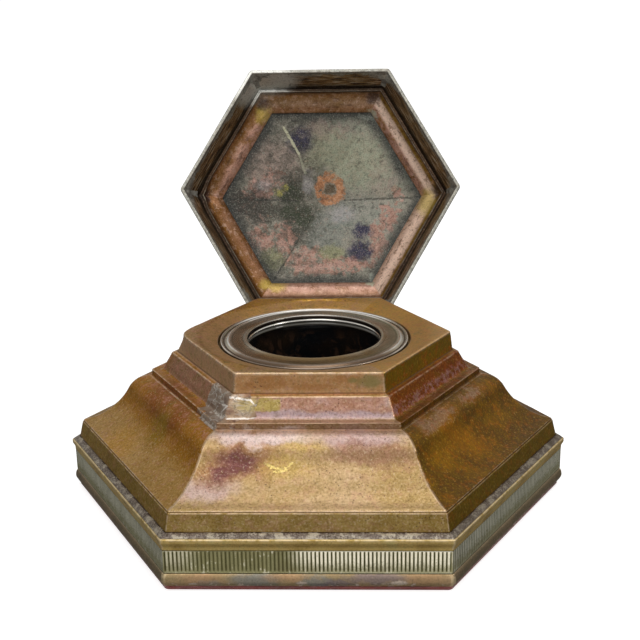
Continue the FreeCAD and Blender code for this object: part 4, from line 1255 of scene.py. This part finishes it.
blob_rows = section(lid_spec([
    (47.3, 0.4, 0, 0, FLAT), (46.85, 0.5, 0, 0, {"lift": 0.3}), (46.72, 1.2, 0, 0, {"lift": 0.5}),
    (46.1, 3.0), (45.2, 6.0), (44.3, 9.0),
    (44.7, 9.0, 0, 0, IN), (45.7, 6.0, 0, 0, IN), (47.2, 1.4, 0, 0, IN), (47.6, 0.8, 0, 0, IN)]),
    step=0.6)


def blob_round(row):
    return 0.6 + 4.4 * smooth01((row.z - LEDGE - 0.8) / 3.5)


def blob_lift(p):
    rough = noise.noise(p * 0.35) * 3.2 + noise.noise(p * 1.2) * 1.5
    far = abs(math.hypot(p.x, p.y) - 46.4) * 1.4 + abs(p.z - LEDGE - 1.5)
    inside = smooth01((5.6 + rough - far) / 1.4)
    return inside * (0.10 + 0.12 * noise.noise(p * 1.7)) - (1 - inside) * 0.35


for k, side in enumerate(SIDES):
    dress(sweep("lid_skirt_strip_" + side, skirt_rows, k, 40, rho=1.5, lid=True),
          "lid", "lid", "lid_brass", "lid_skirt_" + side)
    dress(sweep("lid_ogee_strip_" + side, ogee_rows, k, 40, rho=0.8, lid=True),
          "lid", "lid", "lid_brass", "lid_ogee_" + side)
    dress(sweep("lid_cap_sheet_" + side, cap_rows, k, 36, rho=0.3, lid=True,
                bump=lambda p: ripple(p, 0.10)), "cap", "lid", "lid_cap_brass", "lid_cap_" + side)
    dress(sweep("lid_corner_solder_" + side, blob_rows, None, rho_at=blob_round, bump=blob_lift, lid=True,
                columns=corner_columns(k, (0.4, 0.4), 22)), "lead", "lid", "solder")

# ---------------------------------------------------------------- collar, glass, cement
collar_rows = section([
    (25.3, 45.92, 0, -0.4), (28.2, 45.92, 0.1), (28.2, 47.9, 0.12, 0.2),
    [(28.16, 48.0), (27.98, 48.16), (27.7, 48.16), (27.4, 48.0)],
    (27.2, 47.84, 0.05, -0.9), (26.9, 47.86, 0.05, -0.7),
    [(26.7, 47.98), (26.2, 48.26), (25.7, 48.42), (25.2, 48.4), (24.5, 48.28), (23.0, 48.24),
     (21.8, 48.36)],
    [(21.2, 48.46), (20.8, 48.58), (20.45, 48.62), (20.15, 48.5), (20.0, 48.2)],
    (20.0, 47.4, 0.1, -0.6),
    [(19.85, 47.2), (19.7, 46.98), (19.72, 46.75)],
    (20.1, 46.5, 0.05, -0.4, INSIDE),
    (23.75, 46.5, 0, -0.8, INSIDE), (23.75, 42.5, 0, 0, INSIDE), (25.3, 42.5, 0.15)],
    scale=1.0, step=1.0)
dress(revolve("collar_moulding", collar_rows, 180, lambda p: 0.03 * noise.noise(p * 0.16)),
      "collar", "liner", "collar_metal", "collar_ring")
glass_rows = section([
    (0.0, 9.0), (20.5, 9.0, 1.2), (23.5, 11.6, 1.5), (23.5, 46.4, 0.7),
    ([(22.0, 46.42), (21.0, 46.4), (20.4, 46.2), (20.05, 45.8), (20.05, 45.4), (20.3, 45.0), (20.55, 44.4)],
     INSIDE),
    (20.6, 14.5, 2.0, 0, INSIDE), (17.5, 12.5, 1.5, 0, INSIDE),
    (0.0, 12.5, 0, 0, INSIDE)], scale=1.0, step=2.0)
dress(revolve("glass_pot", glass_rows, 120, lambda p: 0.05 * noise.noise(p * 0.12)),
      "glass", "liner", "ink_glass", "ink_glass")
cement_rows = section([(23.52, 42.7), (23.73, 42.7), (23.73, 45.6), (23.52, 45.6)], scale=1.0, step=1.0)
dress(revolve("cement_fillet", cement_rows, 96), "cement", "liner", "cement", "glass_cement")

# CAD nodes that stay as they are, with a material
for node, material in (("base_plate", "hidden"), ("collar_seat", "hidden"), ("hinge_body_leaf", "hinge"),
                       ("hinge_lid_leaf", "hinge"), ("hinge_pin", "pin")):
    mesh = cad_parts[node].data
    mesh.materials.clear()
    mesh.materials.append(MAT[material])

# ---------------------------------------------------------------- studio
scene = bpy.context.scene
scene.view_settings.view_transform = "Standard"
scene.view_settings.look = "None"

FLOOR_RADIUS, FLOOR_Z, FLOOR_POINTS = 6.0, -0.0002, 64
FLOOR_GREY, FLOOR_GLOW = 0.62, 0.72
floor_mesh = bpy.data.meshes.new("floor")
floor_angles = [2 * math.pi * i / FLOOR_POINTS for i in range(FLOOR_POINTS)]
floor_mesh.from_pydata([(FLOOR_RADIUS * math.cos(a), FLOOR_RADIUS * math.sin(a), FLOOR_Z)
                        for a in floor_angles], [], [tuple(range(FLOOR_POINTS))])
floor = bpy.data.objects.new("floor", floor_mesh)
scene.collection.objects.link(floor)
mat = bpy.data.materials.new("pale_floor")
mat.use_nodes = True
bsdf = mat.node_tree.nodes["Principled BSDF"]
bsdf.inputs["Base Color"].default_value = (FLOOR_GREY, FLOOR_GREY, FLOOR_GREY, 1)
bsdf.inputs["Roughness"].default_value = 0.9
bsdf.inputs["Specular IOR Level"].default_value = 0.0
bsdf.inputs["Emission Color"].default_value = (1, 1, 1, 1)
bsdf.inputs["Emission Strength"].default_value = FLOOR_GLOW
floor_mesh.materials.append(mat)
floor.visible_glossy = False

# the sky's grey by height: 0 straight down, 0.5 at the horizon, 1 straight up
SKY = [(0.0, 0.13), (0.48, 0.20), (0.56, 0.36), (0.64, 0.80), (0.73, 1.0), (0.83, 0.72), (1.0, 0.64)]
SKY_STRENGTH, WALL_GREY = 0.70, 0.40
world = bpy.data.worlds.new("studio")
scene.world = world
world.use_nodes = True
sky_tree = world.node_tree
sky_tree.nodes.clear()


def sky_node(kind, *sources, **props):
    """A node of the sky, its first inputs linked to the sources."""
    n = sky_tree.nodes.new(kind)
    for key, value in props.items():
        setattr(n, key, value)
    for source, socket in zip(sources, n.inputs):
        sky_tree.links.new(source, socket)
    return n


def sky_step(value, low, high, top):
    """0 at low and top at high, or the other way round when low > high."""
    n = sky_node("ShaderNodeMapRange", value, interpolation_type="SMOOTHSTEP")
    n.inputs["From Min"].default_value = min(low, high)
    n.inputs["From Max"].default_value = max(low, high)
    n.inputs["To Min"].default_value = top if low > high else 0.0
    n.inputs["To Max"].default_value = 0.0 if low > high else top
    return n.outputs["Result"]


direction = sky_node("ShaderNodeTexCoord").outputs["Generated"]
split = sky_node("ShaderNodeSeparateXYZ", direction)
height = sky_node("ShaderNodeMapRange", split.outputs["Z"])
height.inputs["From Min"].default_value = -1.0
ramp = sky_node("ShaderNodeValToRGB", height.outputs[0])
elements = ramp.color_ramp.elements
while len(elements) < len(SKY):
    elements.new(0.5)
for element, (position, grey) in zip(elements, SKY):
    element.position = position
    element.color = (grey, grey, grey, 1)
# a pale wall in front, low down
wall = sky_node("ShaderNodeMath", sky_step(split.outputs["Y"], -0.45, -0.95, 1.0),
                sky_step(split.outputs["Z"], 0.7, 0.2, WALL_GREY), operation="MULTIPLY")
total = sky_node("ShaderNodeMix", data_type="RGBA", blend_type="ADD")
total.inputs["Factor"].default_value = 1.0
sky_tree.links.new(ramp.outputs[0], total.inputs[6])
sky_tree.links.new(wall.outputs[0], total.inputs[7])
back = sky_node("ShaderNodeBackground", total.outputs[2])
back.inputs["Strength"].default_value = SKY_STRENGTH
sky_node("ShaderNodeOutputWorld", back.outputs[0])


AIM = Vector((0, 0, 0.04))       # middle of the inkwell


def softbox(name, at, width, depth, power):
    data = bpy.data.lights.new(name, "AREA")
    data.shape = "RECTANGLE"
    data.size = width
    data.size_y = depth
    data.energy = power
    lamp = bpy.data.objects.new(name, data)
    lamp.location = at
    lamp.rotation_euler = (AIM - Vector(at)).to_track_quat("-Z", "Y").to_euler()
    scene.collection.objects.link(lamp)


softbox("front_softbox", (-0.2, -0.7, 0.95), 0.8, 0.5, 2.3)
softbox("top_softbox", (0.05, 0.05, 0.95), 0.5, 0.5, 1.3)
softbox("right_kicker", (0.75, -0.25, 0.55), 0.25, 0.25, 1.2)

# camera at the viewpoint of the picture
CAMERA_AT = Vector((0.01557, -0.33979, 0.1619))
SENSOR, FIELD_OF_VIEW = 36.0, math.radians(30.01)
heading, tilt, roll = math.radians(2.316), math.radians(-17.709), math.radians(-1.05)
camera_data = bpy.data.cameras.new("camera")
camera_data.sensor_width = SENSOR
camera_data.lens = 0.5 * SENSOR / math.tan(FIELD_OF_VIEW / 2)
camera_data.clip_start = 0.01
camera = bpy.data.objects.new("camera", camera_data)
look = Vector((-math.sin(heading) * math.cos(tilt), math.cos(heading) * math.cos(tilt), math.sin(tilt)))
side_axis = look.cross(Vector((0, 0, 1))).normalized()
up_axis = side_axis.cross(look)
right_axis = side_axis * math.cos(roll) + up_axis * math.sin(roll)
top_axis = up_axis * math.cos(roll) - side_axis * math.sin(roll)
pose = Matrix((right_axis, top_axis, -look)).transposed().to_4x4()
pose.translation = CAMERA_AT
camera.matrix_world = pose
scene.collection.objects.link(camera)
scene.camera = camera
